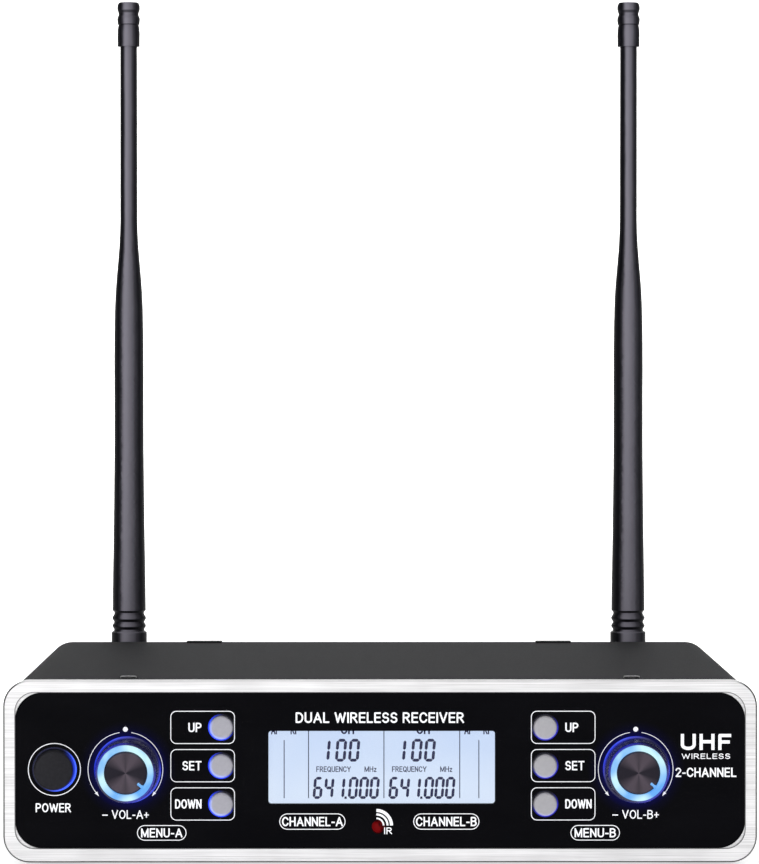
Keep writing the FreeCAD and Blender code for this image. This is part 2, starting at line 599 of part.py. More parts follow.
def hinge_pin(s):
    x, z = s * ANTENNA_X, ANTENNA_Z
    heads = [cyl_x(2.3, x - 6.1, x - 5.6, PIVOT_Y, z), cyl_x(2.3, x + 5.6, x + 6.1, PIVOT_Y, z)]
    return fuse([cyl_x(1.25, x - 5.7, x + 5.7, PIVOT_Y, z)] + heads)


def antenna_collar(s):
    """The socket at the foot of the whip, with the tongue that turns in the elbow's fork."""
    x, z = s * ANTENNA_X, ANTENNA_Z
    tongue = fuse([cyl_x(4.6, x - 2.2, x + 2.2, PIVOT_Y, z),
                   box(x - 2.2, x + 2.2, PIVOT_Y - 4.6, PIVOT_Y + 4.6, z, COLLAR_BOTTOM + 1)])
    socket = cyl_z(COLLAR_R, COLLAR_BOTTOM, COLLAR_TOP, x, PIVOT_Y)
    rims = [e for e in socket.Edges if isinstance(e.Curve, Part.Circle)]
    socket = socket.makeChamfer(0.3, rims)
    collar = fuse([tongue, socket]).cut(cyl_x(1.32, x - 4, x + 4, PIVOT_Y, z))
    return collar.cut(cyl_z(3.5, COLLAR_BOTTOM + 3.0, COLLAR_TOP + 1, x, PIVOT_Y))


def profile_edges(x, y, rows):
    """Edges through lists of (radius, height): a list of two points is a line, a longer one a
    smooth curve."""
    edges = []
    for row in rows:
        points = [V(x + r, y, h) for r, h in row]
        if len(points) == 2:
            edges.append(Part.LineSegment(*points).toShape())
        else:
            curve = Part.BSplineCurve()
            curve.interpolate(points)
            edges.append(curve.toShape())
    return edges


def whip(s):
    """The moulded whip: three grooves at the foot, a long taper, and a slim rod above it."""
    x = s * ANTENNA_X
    foot, socket_r, rod_top = COLLAR_BOTTOM + 3.0, 3.45, CAP_BOTTOM + 10.0
    rings = [(4.9, COLLAR_TOP), (4.62, 52.6), (5.14, 53.65), (4.62, 54.8), (5.14, 55.95), (4.6, 57.15),
             (5.07, 58.4)]
    taper = [(5.07, 58.4), (5.03, 64.0), (4.83, 77.0), (4.64, 92.3), (4.46, 115.0), (4.36, 147.5),
             (4.09, 155.2), (3.53, 162.6), (2.92, 170.0), (2.67, 175.5), (ROD_R, 182.0)]
    rows = [[(0, foot), (socket_r, foot)], [(socket_r, foot), (socket_r, COLLAR_TOP)],
            [(socket_r, COLLAR_TOP), rings[0]], rings, taper, [taper[-1], (ROD_TOP_R, rod_top)],
            [(ROD_TOP_R, rod_top), (0, rod_top)], [(0, rod_top), (0, foot)]]
    return revolve_z(profile_edges(x, PIVOT_Y, rows), x, PIVOT_Y)


def tip_cap(s):
    """A moulded tip: a straight sleeve, a groove with a step, a bead, a groove and a round end."""
    x, bore_top = s * ANTENNA_X, CAP_BOTTOM + 10.2
    sleeve = [(3.4, CAP_BOTTOM), (3.4, 233.5), (3.36, 236.0), (3.24, 236.9), (3.08, 237.6)]
    bead = [(3.36, 237.8), (3.42, 238.7), (3.4, 239.8), (3.12, 240.5), (3.12, 241.3), (3.38, 242.0),
            (3.46, 242.8), (3.3, 243.8), (2.9, TIP_Z)]
    rows = [[(ROD_R, CAP_BOTTOM), sleeve[0]], sleeve, [sleeve[-1], bead[0]], bead,
            [bead[-1], (0, TIP_Z)], [(0, TIP_Z), (0, bore_top)], [(0, bore_top), (ROD_R, bore_top)],
            [(ROD_R, bore_top), (ROD_R, CAP_BOTTOM)]]
    return revolve_z(profile_edges(x, PIVOT_Y, rows), x, PIVOT_Y)


# ---- every node ----
os.makedirs("parts", exist_ok=True)
SIDES = (("left", -1), ("right", 1))

export("front_frame", front_frame())
export("front_panel", front_panel())
export("display_window", display_window())
export("lcd_glass", lcd_glass())
export("lcd_backlight", lcd_backlight())
export("ir_emitter", ir_emitter())
export("menu_light_guides", menu_light_guide("a"), menu_light_guide("b"))
export("power_light_ring", power_light_ring())
export("knob_light_guides", knob_light_guide("a"), knob_light_guide("b"))
export("tact_switches", *[tact_switch(side, name) for side in MENU_X for name in MENU_Z])
export("power_switch", power_switch())
export("potentiometers", potentiometer("a"), potentiometer("b"))
export("front_board", front_board())

export("top_cover", top_cover())
export("bottom_chassis", bottom_chassis())
export("rear_panel", rear_panel())
export("rubber_feet", *[rubber_foot(s * SIDE_X, FRONT + y) for s in (-1, 1) for y in (24, 132)])
export("case_screws", *[m3(at, way) for at, way in CASE_SCREWS])

export("main_board", main_board())
export("board_standoffs", *[board_standoff(x, y) for x, y in STANDOFFS])
export("board_screws", *board_screws())
export("tuner_shields", tuner_shield(-1), tuner_shield(1))
export("board_components", *board_components())
export("ribbon_cable", ribbon_cable())
export("antenna_leads", antenna_lead(-1), antenna_lead(1))

export("antenna_jacks", antenna_jack(-1), antenna_jack(1))
export("panel_nuts", *panel_nuts())
export("xlr_shells", xlr_shell(-1), xlr_shell(1))
export("xlr_inserts", xlr_insert(-1), xlr_insert(1))
export("xlr_pins", *(xlr_pins(-1) + xlr_pins(1)))
export("mix_jack", mix_jack())
export("dc_inlet", dc_inlet())

export("power_button", power_button())
for side in MENU_X:
    for name in MENU_Z:
        export(f"{name}_button_{side}", menu_button(side, name))
    export(f"knob_{side}_skirt", knob_skirt(side))
    export(f"knob_{side}_light_ring", knob_light_ring(side))
    export(f"knob_{side}_cap", knob_cap(side))
    export(f"knob_{side}_shaft", knob_shaft(side))

for word, s in SIDES:
    export(f"coupling_nut_{word}", coupling_nut(s))
    export(f"antenna_elbow_{word}", antenna_elbow(s))
    export(f"hinge_pin_{word}", hinge_pin(s))
    export(f"antenna_collar_{word}", antenna_collar(s))
    export(f"antenna_whip_{word}", whip(s))
    export(f"antenna_tip_{word}", tip_cap(s))
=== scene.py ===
"""Looks of a dual-channel wireless microphone receiver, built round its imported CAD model.

The CAD nodes keep their shapes and get procedural materials. The knobs, the button caps, the
printed legends and what the display shows are built here. Layout values are in millimetres in the
object's frame: +X right, +Y to the back, +Z up.
"""
import math

import bpy
import bmesh
from mathutils import Matrix, Vector


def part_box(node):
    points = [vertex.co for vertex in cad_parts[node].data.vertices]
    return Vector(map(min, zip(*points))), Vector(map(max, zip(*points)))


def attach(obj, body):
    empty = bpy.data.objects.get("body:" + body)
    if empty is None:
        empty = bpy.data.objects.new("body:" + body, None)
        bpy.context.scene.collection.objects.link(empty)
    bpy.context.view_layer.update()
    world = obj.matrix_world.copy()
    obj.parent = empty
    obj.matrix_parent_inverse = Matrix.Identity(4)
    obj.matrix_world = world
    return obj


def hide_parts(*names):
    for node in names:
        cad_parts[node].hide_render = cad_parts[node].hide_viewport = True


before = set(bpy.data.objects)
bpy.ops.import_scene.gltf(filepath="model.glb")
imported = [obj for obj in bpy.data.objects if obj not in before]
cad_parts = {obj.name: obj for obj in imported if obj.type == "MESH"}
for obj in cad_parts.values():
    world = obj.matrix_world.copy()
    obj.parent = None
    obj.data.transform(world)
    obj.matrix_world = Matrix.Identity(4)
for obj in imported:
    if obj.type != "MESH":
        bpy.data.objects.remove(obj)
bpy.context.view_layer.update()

MM = 0.001


def cad_box_mm(node):
    low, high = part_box(node)
    return Vector(low) / MM, Vector(high) / MM


def cad_centre(node):
    low, high = cad_box_mm(node)
    return (low + high) / 2


FRAME_FACE = cad_box_mm("front_frame")[0].y
PANEL_FACE = cad_box_mm("front_panel")[0].y
LCD_FACE = cad_box_mm("lcd_glass")[0].y
WINDOW = cad_centre("display_window")
POWER = cad_centre("power_button")
IR = cad_centre("ir_emitter")
KNOBS = {"a": cad_centre("knob_a_skirt"), "b": cad_centre("knob_b_skirt")}
MENU_ROWS = ("up", "set", "down")


# ---- node helpers for materials ----
class Material:
    """A Principled material with the few node groups that the looks below need."""

    def __init__(self, name, color, rough, metal=0.0, spec=0.5, **sockets):
        self.data = bpy.data.materials.new(name)
        self.data.use_nodes = True
        self.nodes = self.data.node_tree.nodes
        self.links = self.data.node_tree.links
        self.bsdf = self.nodes["Principled BSDF"]
        self.set("Base Color", color)
        self.set("Roughness", rough)
        self.set("Metallic", metal)
        self.set("Specular IOR Level", spec)
        for socket, value in sockets.items():
            self.set(socket.replace("_", " "), value)
        coordinates = self.nodes.new("ShaderNodeTexCoord").outputs
        self.place = coordinates["Object"]
        self.facing = coordinates["Normal"]

    def set(self, socket, value):
        if isinstance(value, tuple):
            value = (*value, 1.0) if len(value) == 3 else value
        self.bsdf.inputs[socket].default_value = value

    def node(self, kind, **inputs):
        made = self.nodes.new(kind)
        for name, value in inputs.items():
            socket = made.inputs[name.replace("_", " ")]
            if isinstance(value, bpy.types.NodeSocket):
                self.links.new(value, socket)
            else:
                socket.default_value = value
        return made

    def mapped(self, scale=(1, 1, 1), turn=(0, 0, 0), move=(0, 0, 0)):
        """The piece's own coordinates in millimetres, scaled per axis."""
        per_mm = tuple(s / MM for s in scale)
        return self.node("ShaderNodeMapping", Vector=self.place, Scale=per_mm, Rotation=turn,
                         Location=move).outputs["Vector"]

    def noise(self, per_mm, detail=3.0, roughness=0.55, stretch=(1, 1, 1)):
        vector = self.mapped(stretch)
        made = self.node("ShaderNodeTexNoise", Vector=vector, Scale=per_mm, Detail=detail,
                         Roughness=roughness)
        return made.outputs["Fac"]

    def math(self, operation, a, b=0.0, c=0.0, clamp=False):
        made = self.nodes.new("ShaderNodeMath")
        made.operation = operation
        made.use_clamp = clamp
        for socket, value in zip(made.inputs, (a, b, c)):
            if isinstance(value, bpy.types.NodeSocket):
                self.links.new(value, socket)
            else:
                socket.default_value = value
        return made.outputs[0]

    def length(self, a, b):
        """The length of the vector (a, b)."""
        return self.math("SQRT", self.math("ADD", self.math("MULTIPLY", a, a),
                                           self.math("MULTIPLY", b, b)))

    def span(self, value, low, high, out_low, out_high):
        """The value's range from low to high, eased into a range from out_low to out_high."""
        made = self.node("ShaderNodeMapRange", Value=value)
        made.interpolation_type = "SMOOTHSTEP"
        for name, number in (("From Min", low), ("From Max", high), ("To Min", out_low),
                             ("To Max", out_high)):
            made.inputs[name].default_value = number
        return made.outputs["Result"]

    def colours(self, value, stops):
        made = self.node("ShaderNodeValToRGB", Fac=value)
        ramp = made.color_ramp
        while len(ramp.elements) < len(stops):
            ramp.elements.new(0.5)
        for element, (position, color) in zip(ramp.elements, stops):
            element.position = position
            element.color = (*color, 1.0)
        return made.outputs["Color"]

    def mixed(self, value, one, two):
        """Colour `one` where the value is 0 and `two` where it is 1; either can be an output."""
        made = self.nodes.new("ShaderNodeMix")
        made.data_type = "RGBA"
        self.links.new(value, made.inputs["Factor"])
        for socket, colour in zip((s for s in made.inputs if s.type == "RGBA"), (one, two)):
            if isinstance(colour, bpy.types.NodeSocket):
                self.links.new(colour, socket)
            else:
                socket.default_value = (*colour, 1.0)
        return next(s for s in made.outputs if s.type == "RGBA")

    def split(self, vector):
        return self.node("ShaderNodeSeparateXYZ", Vector=vector).outputs

    def link(self, output, socket):
        self.links.new(output, self.bsdf.inputs[socket])
        return self

    def bump(self, height, strength, depth_mm):
        made = self.node("ShaderNodeBump", Height=height, Strength=strength, Distance=depth_mm * MM)
        return self.link(made.outputs["Normal"], "Normal")

    def vary(self, value, dark, light, rough_low, rough_high, edge=(0.3, 0.7)):
        """Colour and roughness that drift together with a pattern."""
        self.link(self.colours(value, [(edge[0], dark), (edge[1], light)]), "Base Color")
        return self.link(self.span(value, edge[0], edge[1], rough_low, rough_high), "Roughness")


# ---- materials ----
def brushed_aluminium():
    """Fine lines along X, a slow drift of brightness, and painted shade on the edges and sides
    round the face.
    """
    m = Material("brushed_aluminium", (0.8, 0.8, 0.8), 0.4, metal=0.55, spec=0.4)
    lines = m.noise(1.0, detail=5.0, roughness=0.65, stretch=(0.03, 2.2, 4.0))
    drift = m.noise(0.06, detail=2.0)
    both = m.math("ADD", m.math("MULTIPLY", lines, 0.75), m.math("MULTIPLY", drift, 0.25))
    silver = m.colours(both, [(0.38, (0.60, 0.595, 0.60)), (0.62, (0.86, 0.855, 0.865))])
    _, normal_y, normal_z = m.split(m.facing)
    # Painted shade: all but the front and top faces take a dark colour, standing in for the shade
    # on the chamfers and sides.
    face = m.math("MAXIMUM", m.span(m.math("ABSOLUTE", normal_y), 0.85, 0.97, 0.0, 1.0),
                  m.span(normal_z, 0.55, 0.75, 0.0, 1.0))
    m.link(m.mixed(face, (0.07, 0.07, 0.072), silver), "Base Color")
    m.link(m.span(both, 0.36, 0.64, 0.34, 0.50), "Roughness")
    return m.bump(lines, 0.2, 0.02)


def powder_coat(name, dark, light):
    """Textured paint: a tight pebble grain over a wider orange peel."""
    m = Material(name, light, 0.7, spec=0.01)
    pebble = m.noise(3.2, detail=4.0, roughness=0.6)
    peel = m.noise(0.6, detail=2.0)
    m.vary(pebble, dark, light, 0.60, 0.80, edge=(0.32, 0.68))
    return m.bump(m.math("ADD", pebble, m.math("MULTIPLY", peel, 0.6)), 0.2, 0.05)


def black_acrylic():
    """The panel: near-black, with a faint haze of wiping marks and a painted blue glow round the
    knobs.
    """
    m = Material("black_acrylic", (0.0012, 0.0012, 0.002), 0.18, spec=0.03, Emission_Strength=1.0)
    haze = m.noise(0.12, detail=4.0, stretch=(0.4, 1, 1))
    m.link(m.colours(haze, [(0.35, (0.0010, 0.0010, 0.0020)), (0.7, (0.0022, 0.0022, 0.0034))]),
           "Base Color")
    m.link(m.span(haze, 0.3, 0.7, 0.14, 0.26), "Roughness")
    x, _, z = m.split(m.mapped())
    # Painted light: an emissive blue pool round each knob stands in for the light that the knob
    # throws on the panel.
    painted_knob_glow = 0.0
    for knob in KNOBS.values():
        away = m.length(m.math("SUBTRACT", x, knob.x), m.math("SUBTRACT", z, knob.z))
        painted_knob_glow = m.math("ADD", m.span(away, 8.0, 13.5, 1.0, 0.0), painted_knob_glow)
    m.link(m.colours(painted_knob_glow, [(0.0, (0, 0, 0)), (0.5, (0.0004, 0.0004, 0.010)),
                             (1.0, (0.001, 0.001, 0.055))]), "Emission Color")
    return m


def printed_ink(name, color, glow):
    """Screen-printed ink with a slightly uneven film, which also glows a little: painted light that
    brightens the print.
    """
    m = Material(name, color, 0.5, spec=0.3, Emission_Strength=glow)
    film = m.noise(1.5, detail=3.0)
    shade = tuple(c * 0.90 for c in color)
    m.link(m.colours(film, [(0.3, shade), (0.7, color)]), "Base Color")
    # Painted light: the ink's colour is also its glow.
    m.link(m.colours(film, [(0.3, shade), (0.7, color)]), "Emission Color")
    return m.bump(film, 0.1, 0.01)


def backlit_lcd():
    """The lit display: pale blue, a little brighter to the bottom and over each lamp."""
    m = Material("backlit_lcd", (0.02, 0.025, 0.03), 0.3, spec=0.1, Emission_Strength=1.0)
    _, _, z = m.split(m.mapped())
    height = m.span(z, WINDOW.z - 10, WINDOW.z + 10, 1.0, 0.0)
    lamp = m.noise(0.09, detail=1.0)
    level = m.math("ADD", m.math("MULTIPLY", height, 0.55), m.math("MULTIPLY", lamp, 0.45))
    m.link(m.colours(level, [(0.15, (0.55, 0.67, 0.90)), (0.85, (0.67, 0.77, 0.93))]),
           "Emission Color")
    return m.bump(lamp, 0.01, 0.01)


def clear_window():
    """The clear window over the display, with very light rub marks."""
    m = Material("clear_window", (0.9, 0.95, 1.0), 0.08, spec=0.05, Alpha=0.02)
    m.link(m.span(m.noise(0.3, detail=4.0), 0.3, 0.7, 0.05, 0.16), "Roughness")
    m.data.surface_render_method = "BLENDED"
    return m


def lcd_ink():
    """The dark segments of the display, which the light behind them tints blue."""
    m = Material("lcd_ink", (0.004, 0.004, 0.02), 0.6, spec=0.05, Emission_Strength=1.0)
    depth = m.noise(2.0, detail=2.0)
    m.link(m.colours(depth, [(0.2, (0.001, 0.001, 0.022)), (0.8, (0.002, 0.003, 0.048))]),
           "Emission Color")
    return m


def lit_plastic(name, dim, bright, strength, per_mm=0.25, spec=0.4):
    """Translucent plastic lit from inside, uneven where the lamps are."""
    m = Material(name, tuple(c * 0.1 for c in bright), 0.35, spec=spec, Emission_Strength=strength)
    lamp = m.noise(per_mm, detail=2.0)
    m.link(m.colours(lamp, [(0.40, dim), (0.60, bright)]), "Emission Color")
    return m.bump(m.noise(5.0, detail=2.0), 0.1, 0.02)


def moulded_plastic(name, dark, light, rough=(0.35, 0.5), spec=0.45, grain=3.0, depth=0.03):
    """Moulded plastic with a fine spark-eroded grain and a slow drift of tone."""
    m = Material(name, light, rough[0], spec=spec)
    tone = m.math("ADD", m.math("MULTIPLY", m.noise(0.08, detail=3.0), 0.6),
                  m.math("MULTIPLY", m.noise(grain, detail=3.0), 0.4))
    m.vary(tone, dark, light, rough[0], rough[1], edge=(0.38, 0.62))
    return m.bump(m.noise(grain, detail=4.0), 0.3, depth)


def plated_metal(name, dark, light, rough=(0.2, 0.35), grain=2.0):
    """Bare or plated metal, slightly drawn out across Y."""
    m = Material(name, light, rough[0], metal=1.0)
    m.vary(m.noise(grain, detail=4.0, stretch=(1, 0.4, 1)), dark, light, rough[0], rough[1])
    return m.bump(m.noise(grain * 2, detail=3.0), 0.15, 0.02)


def circuit_board():
    """Green solder mask with darker copper tracks showing through."""
    m = Material("circuit_board", (0.01, 0.09, 0.035), 0.35)
    tracks = m.node("ShaderNodeTexBrick", Vector=m.mapped((0.12, 0.12, 0.12)), Scale=3.0,
                    Mortar_Size=0.03).outputs["Fac"]
    m.link(m.colours(m.math("ADD", tracks, m.math("MULTIPLY", m.noise(0.6), 0.3)),
                     [(0.2, (0.008, 0.075, 0.03)), (0.8, (0.02, 0.16, 0.06))]), "Base Color")
    return m.bump(tracks, 0.2, 0.03)


def painted_sheen_black(name, dark, painted_sheen):
    """Black moulded rubber with a painted sheen: one broad painted highlight along it, left of the
    middle, between dark flanks.
    Painted shade darkens it where the surface turns down into a groove."""
    m = Material(name, dark, 0.42, spec=0.035)
    normal_x, _, normal_z = m.split(m.facing)
    # Painted highlight: a lighter band, set by which way the surface faces, stands in for a
    # softbox's reflection.
    turned_right = m.math("MULTIPLY_ADD", normal_x, 0.5, 0.5)
    shares = [(0.18, 0.0), (0.25, 0.14), (0.33, 0.85), (0.38, 1.0), (0.46, 0.95), (0.56, 0.74),
              (0.66, 0.50), (0.74, 0.20), (0.86, 0.03)]
    stops = [(at, tuple(d + (s - d) * share for d, s in zip(dark, painted_sheen))) for at, share in shares]
    mottle = m.noise(0.5, detail=3.0, stretch=(1, 1, 0.3))
    wavy = m.math("ADD", turned_right, m.math("MULTIPLY_ADD", mottle, 0.06, -0.03))
    painted_sheen_band = m.colours(wavy, stops)
    # Painted shade: where the surface faces down into a groove it keeps the dark colour.
    m.link(m.mixed(m.span(normal_z, -0.45, -0.08, 0.0, 1.0), dark, painted_sheen_band), "Base Color")
    m.link(m.span(mottle, 0.3, 0.7, 0.36, 0.46), "Roughness")
    return m.bump(m.noise(2.0, detail=4.0), 0.15, 0.03)


def spun_metal():
    """A spun cap: fine rings round Y, and broad light and dark lobes of painted reflection in its
    colour.
    """
    m = Material("spun_metal", (0.1, 0.09, 0.11), 0.35, metal=0.6, spec=0.4, Anisotropic=0.6)
    angle = m.node("ShaderNodeTexGradient", Vector=m.mapped(turn=(math.pi / 2, 0, 0)))
    angle.gradient_type = "RADIAL"
    dark, mid, light = (0.007, 0.005, 0.012), (0.036, 0.028, 0.039), (0.062, 0.048, 0.064)
    # Painted reflection: light and dark lobes by the angle round Y, in the cap's colour.
    painted_reflection_lobes = [(0.00, dark), (0.05, dark), (0.15, light), (0.20, light), (0.25, mid), (0.30, light),
             (0.35, light), (0.45, dark), (0.55, dark), (0.65, light), (0.70, light), (0.75, mid),
             (0.80, light), (0.85, light), (0.95, dark), (1.0, dark)]
    x, _, z = m.split(m.mapped())
    radius = m.length(x, z)
    turns = m.math("SINE", m.math("MULTIPLY", radius, 2 * math.pi / 0.22))
    m.link(m.colours(angle.outputs["Fac"], painted_reflection_lobes), "Base Color")
    m.link(m.span(turns, -1, 1, 0.28, 0.42), "Roughness")
    return m.bump(turns, 0.15, 0.02)


def edge_lit(name, core_dark, core_light, glow, reach, aim_deg, spread, strength, least=0.0,
             spec=0.35):
    """A round cap, turned about Y, whose rim carries coloured light on the side of `aim_deg`
    (clockwise from the top)."""
    m = Material(name, core_light, 0.42, spec=spec, Emission_Strength=strength)
    x, _, z = m.split(m.mapped())
    radius = m.length(x, z)
    rim = m.span(radius, reach[0], reach[1], 0.0, 1.0)
    aim = math.radians(aim_deg)
    along = m.math("ADD", m.math("MULTIPLY", x, math.sin(aim)),
                   m.math("MULTIPLY", z, math.cos(aim)))
    facing_aim = m.math("DIVIDE", along, m.math("ADD", radius, 0.01))
    side = m.span(facing_aim, spread[0], spread[1], least, 1.0)
    mask = m.math("MULTIPLY", rim, side)
    m.link(m.colours(mask, [(0.0, (0, 0, 0)), (0.5, tuple(c * 0.45 for c in glow)), (1.0, glow)]),
           "Emission Color")
    grain = m.noise(1.2, detail=3.0)
    m.link(m.colours(grain, [(0.3, core_dark), (0.7, core_light)]), "Base Color")
    return m.bump(m.noise(5.0, detail=2.0), 0.05, 0.01)


def glowing_skirt():
    """The knob's grip: black plastic that carries blue light, bright at its two rims."""
    m = Material("glowing_skirt", (0.006, 0.006, 0.012), 0.25, spec=0.6, Emission_Strength=1.0)
    x, depth, z = m.split(m.mapped())
    foot = m.span(depth, -1.3, -0.5, 0.0, 1.0)
    shoulder = m.span(depth, -9.9, -9.2, 1.0, 0.0)
    turn = m.math("ARCTAN2", x, z)
    patches = m.noise(0.16, detail=3.0)
    both_sides = m.math("ABSOLUTE", m.math("SINE", m.math("ADD", turn, -0.75)))
    sweep = m.span(both_sides, 0.25, 1.0, 0.15, 1.0)
    rims = m.math("MAXIMUM", foot, m.math("MULTIPLY", shoulder, 0.5))
    level = m.math("MULTIPLY", sweep, m.math("ADD", m.math("MULTIPLY", rims, 0.75),
                                             m.math("MULTIPLY", patches, 0.22)), clamp=True)
    m.link(m.colours(level, [(0.0, (0.001, 0.001, 0.012)), (0.25, (0.004, 0.004, 0.10)),
                             (0.65, (0.01, 0.02, 0.55)), (1.0, (0.06, 0.12, 1.0))]),
           "Emission Color")
    return m.bump(m.noise(3.0, detail=3.0), 0.2, 0.03)


FRAME_METAL = brushed_aluminium()
COVER_PAINT = powder_coat("cover_paint", (0.018, 0.018, 0.020), (0.026, 0.026, 0.0285))
PANEL_BLACK = black_acrylic()
WHITE_INK = printed_ink("white_ink", (0.80, 0.81, 0.84), 0.42)
LCD_LIGHT = backlit_lcd()
LCD_INK = lcd_ink()
WINDOW_CLEAR = clear_window()
BLUE_GUIDE = lit_plastic("blue_guide", (0.003, 0.004, 0.16), (0.02, 0.04, 0.60), 1.0)
RING_LIGHT = lit_plastic("ring_light", (0.09, 0.37, 0.92), (0.60, 0.92, 1.0), 0.92, per_mm=0.11,
                         spec=0.15)
IR_GLOW = lit_plastic("ir_glow", (0.03, 0.001, 0.002), (0.17, 0.004, 0.005), 0.9, per_mm=0.5,
                      spec=0.02)
DARK_PLASTIC = moulded_plastic("dark_plastic", (0.010, 0.010, 0.011), (0.020, 0.020, 0.022))
# The antennas' lighter band is a painted highlight.
ANTENNA_PLASTIC = painted_sheen_black("antenna_plastic", (0.004, 0.004, 0.006), (0.218, 0.209, 0.248))
RUBBER = moulded_plastic("rubber", (0.010, 0.010, 0.010), (0.022, 0.022, 0.022), rough=(0.7, 0.85),
                         spec=0.25, grain=2.0, depth=0.05)
WHITE_PLASTIC = moulded_plastic("white_plastic", (0.70, 0.72, 0.74), (0.80, 0.82, 0.84))
BLACK_STEEL = plated_metal("black_steel", (0.015, 0.015, 0.016), (0.045, 0.045, 0.047),
                           rough=(0.3, 0.45))
BLACK_STEEL.set("Metallic", 0.4)
ZINC = plated_metal("zinc_plated", (0.38, 0.38, 0.37), (0.60, 0.60, 0.59), rough=(0.28, 0.42))
NICKEL = plated_metal("nickel", (0.50, 0.48, 0.45), (0.72, 0.70, 0.67), rough=(0.14, 0.26))
GOLD = plated_metal("gold_contact", (0.70, 0.48, 0.18), (0.92, 0.68, 0.30), rough=(0.15, 0.25))
BOARD = circuit_board()
CAP_A = edge_lit("button_cap_a", (0.355, 0.350, 0.395), (0.385, 0.38, 0.425), (0.07, 0.17, 0.85),
                 (2.2, 3.0), 228, (-0.1, 0.8), 1.0)
CAP_B = edge_lit("button_cap_b", (0.365, 0.360, 0.385), (0.395, 0.39, 0.415), (0.08, 0.09, 0.55),
                 (2.4, 3.1), 175, (0.0, 1.0), 0.8)
GUIDE_A = edge_lit("menu_guide_a", (0.004, 0.004, 0.02), (0.006, 0.006, 0.03), (0.02, 0.06, 1.0),
                   (3.0, 3.1), 235, (-0.75, 0.6), 1.3)
GUIDE_B = edge_lit("menu_guide_b", (0.004, 0.004, 0.02), (0.006, 0.006, 0.03), (0.02, 0.02, 0.50),
                   (3.0, 3.1), 150, (-0.6, 0.8), 1.0)
POWER_CAP = edge_lit("power_cap", (0.007, 0.007, 0.010), (0.012, 0.0115, 0.016), (0.02, 0.05, 0.8),
                     (4.95, 5.4), 110, (0.1, 1.0), 0.7, spec=0.15)
POWER_GUIDE = edge_lit("power_guide", (0.004, 0.004, 0.012), (0.006, 0.006, 0.02),
                       (0.05, 0.12, 1.0), (4.0, 5.0), 118, (-0.1, 0.8), 1.5, least=0.02)
# A dark finish for the painted shadow line along the panel's recess.
SHADOW_PAINT = plated_metal("painted_shadow_line", (0.10, 0.10, 0.105), (0.18, 0.18, 0.185), rough=(0.35, 0.5))
SPUN = spun_metal()
SKIRT = glowing_skirt()

NODE_MATERIALS = {
    FRAME_METAL: ["front_frame"],
    COVER_PAINT: ["top_cover", "rear_panel"],
    PANEL_BLACK: ["front_panel"],
    WINDOW_CLEAR: ["display_window"],
    LCD_LIGHT: ["lcd_glass"],
    WHITE_PLASTIC: ["lcd_backlight", "ribbon_cable"],
    BLUE_GUIDE: ["knob_light_guides"],
    IR_GLOW: ["ir_emitter"],
    DARK_PLASTIC: ["tact_switches", "power_switch", "board_components", "antenna_leads",
                   "xlr_inserts", "mix_jack", "dc_inlet"],
    ANTENNA_PLASTIC: [f"antenna_{part}_{side}" for part in ("collar", "whip", "tip")
                      for side in ("left", "right")],
    RUBBER: ["rubber_feet"],
    BLACK_STEEL: ["case_screws", *(f"{part}_{side}" for side in ("left", "right")
                                   for part in ("coupling_nut", "antenna_elbow", "hinge_pin"))],
    ZINC: ["potentiometers", "bottom_chassis", "board_screws", "tuner_shields", "xlr_shells",
           "knob_a_shaft", "knob_b_shaft"],
    NICKEL: ["antenna_jacks", "panel_nuts", "board_standoffs"],
    GOLD: ["xlr_pins"],
    BOARD: ["front_board", "main_board"],
}


def dress(mesh, material):
    mesh.materials.clear()
    mesh.materials.append(material.data)


for material, nodes in NODE_MATERIALS.items():
    for node in nodes:
        dress(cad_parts[node].data, material)


# ---- making pieces ----
def piece(name, mesh, material, body, at):
    """A new piece on a body; its mesh is round `at`, which is in the object's frame."""
    mesh.transform(Matrix.Scale(MM, 4))
    dress(mesh, material)
    obj = bpy.data.objects.new(name, mesh)
    bpy.context.scene.collection.objects.link(obj)
    obj.location = Vector(at) * MM
    bpy.context.view_layer.update()
    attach(obj, body)
    return obj


LEVELS = 6              # how many heights neighbouring marks take in turn
LEVEL_STEP = 0.002
SHARP_CORNER = math.radians(40)
MITRE_LIMIT = 0.55      # keeps a strip's sharpest corner from reaching too far
LETTER_WEIGHT = 0.155   # thickness of a letter's lines, as a share of its height


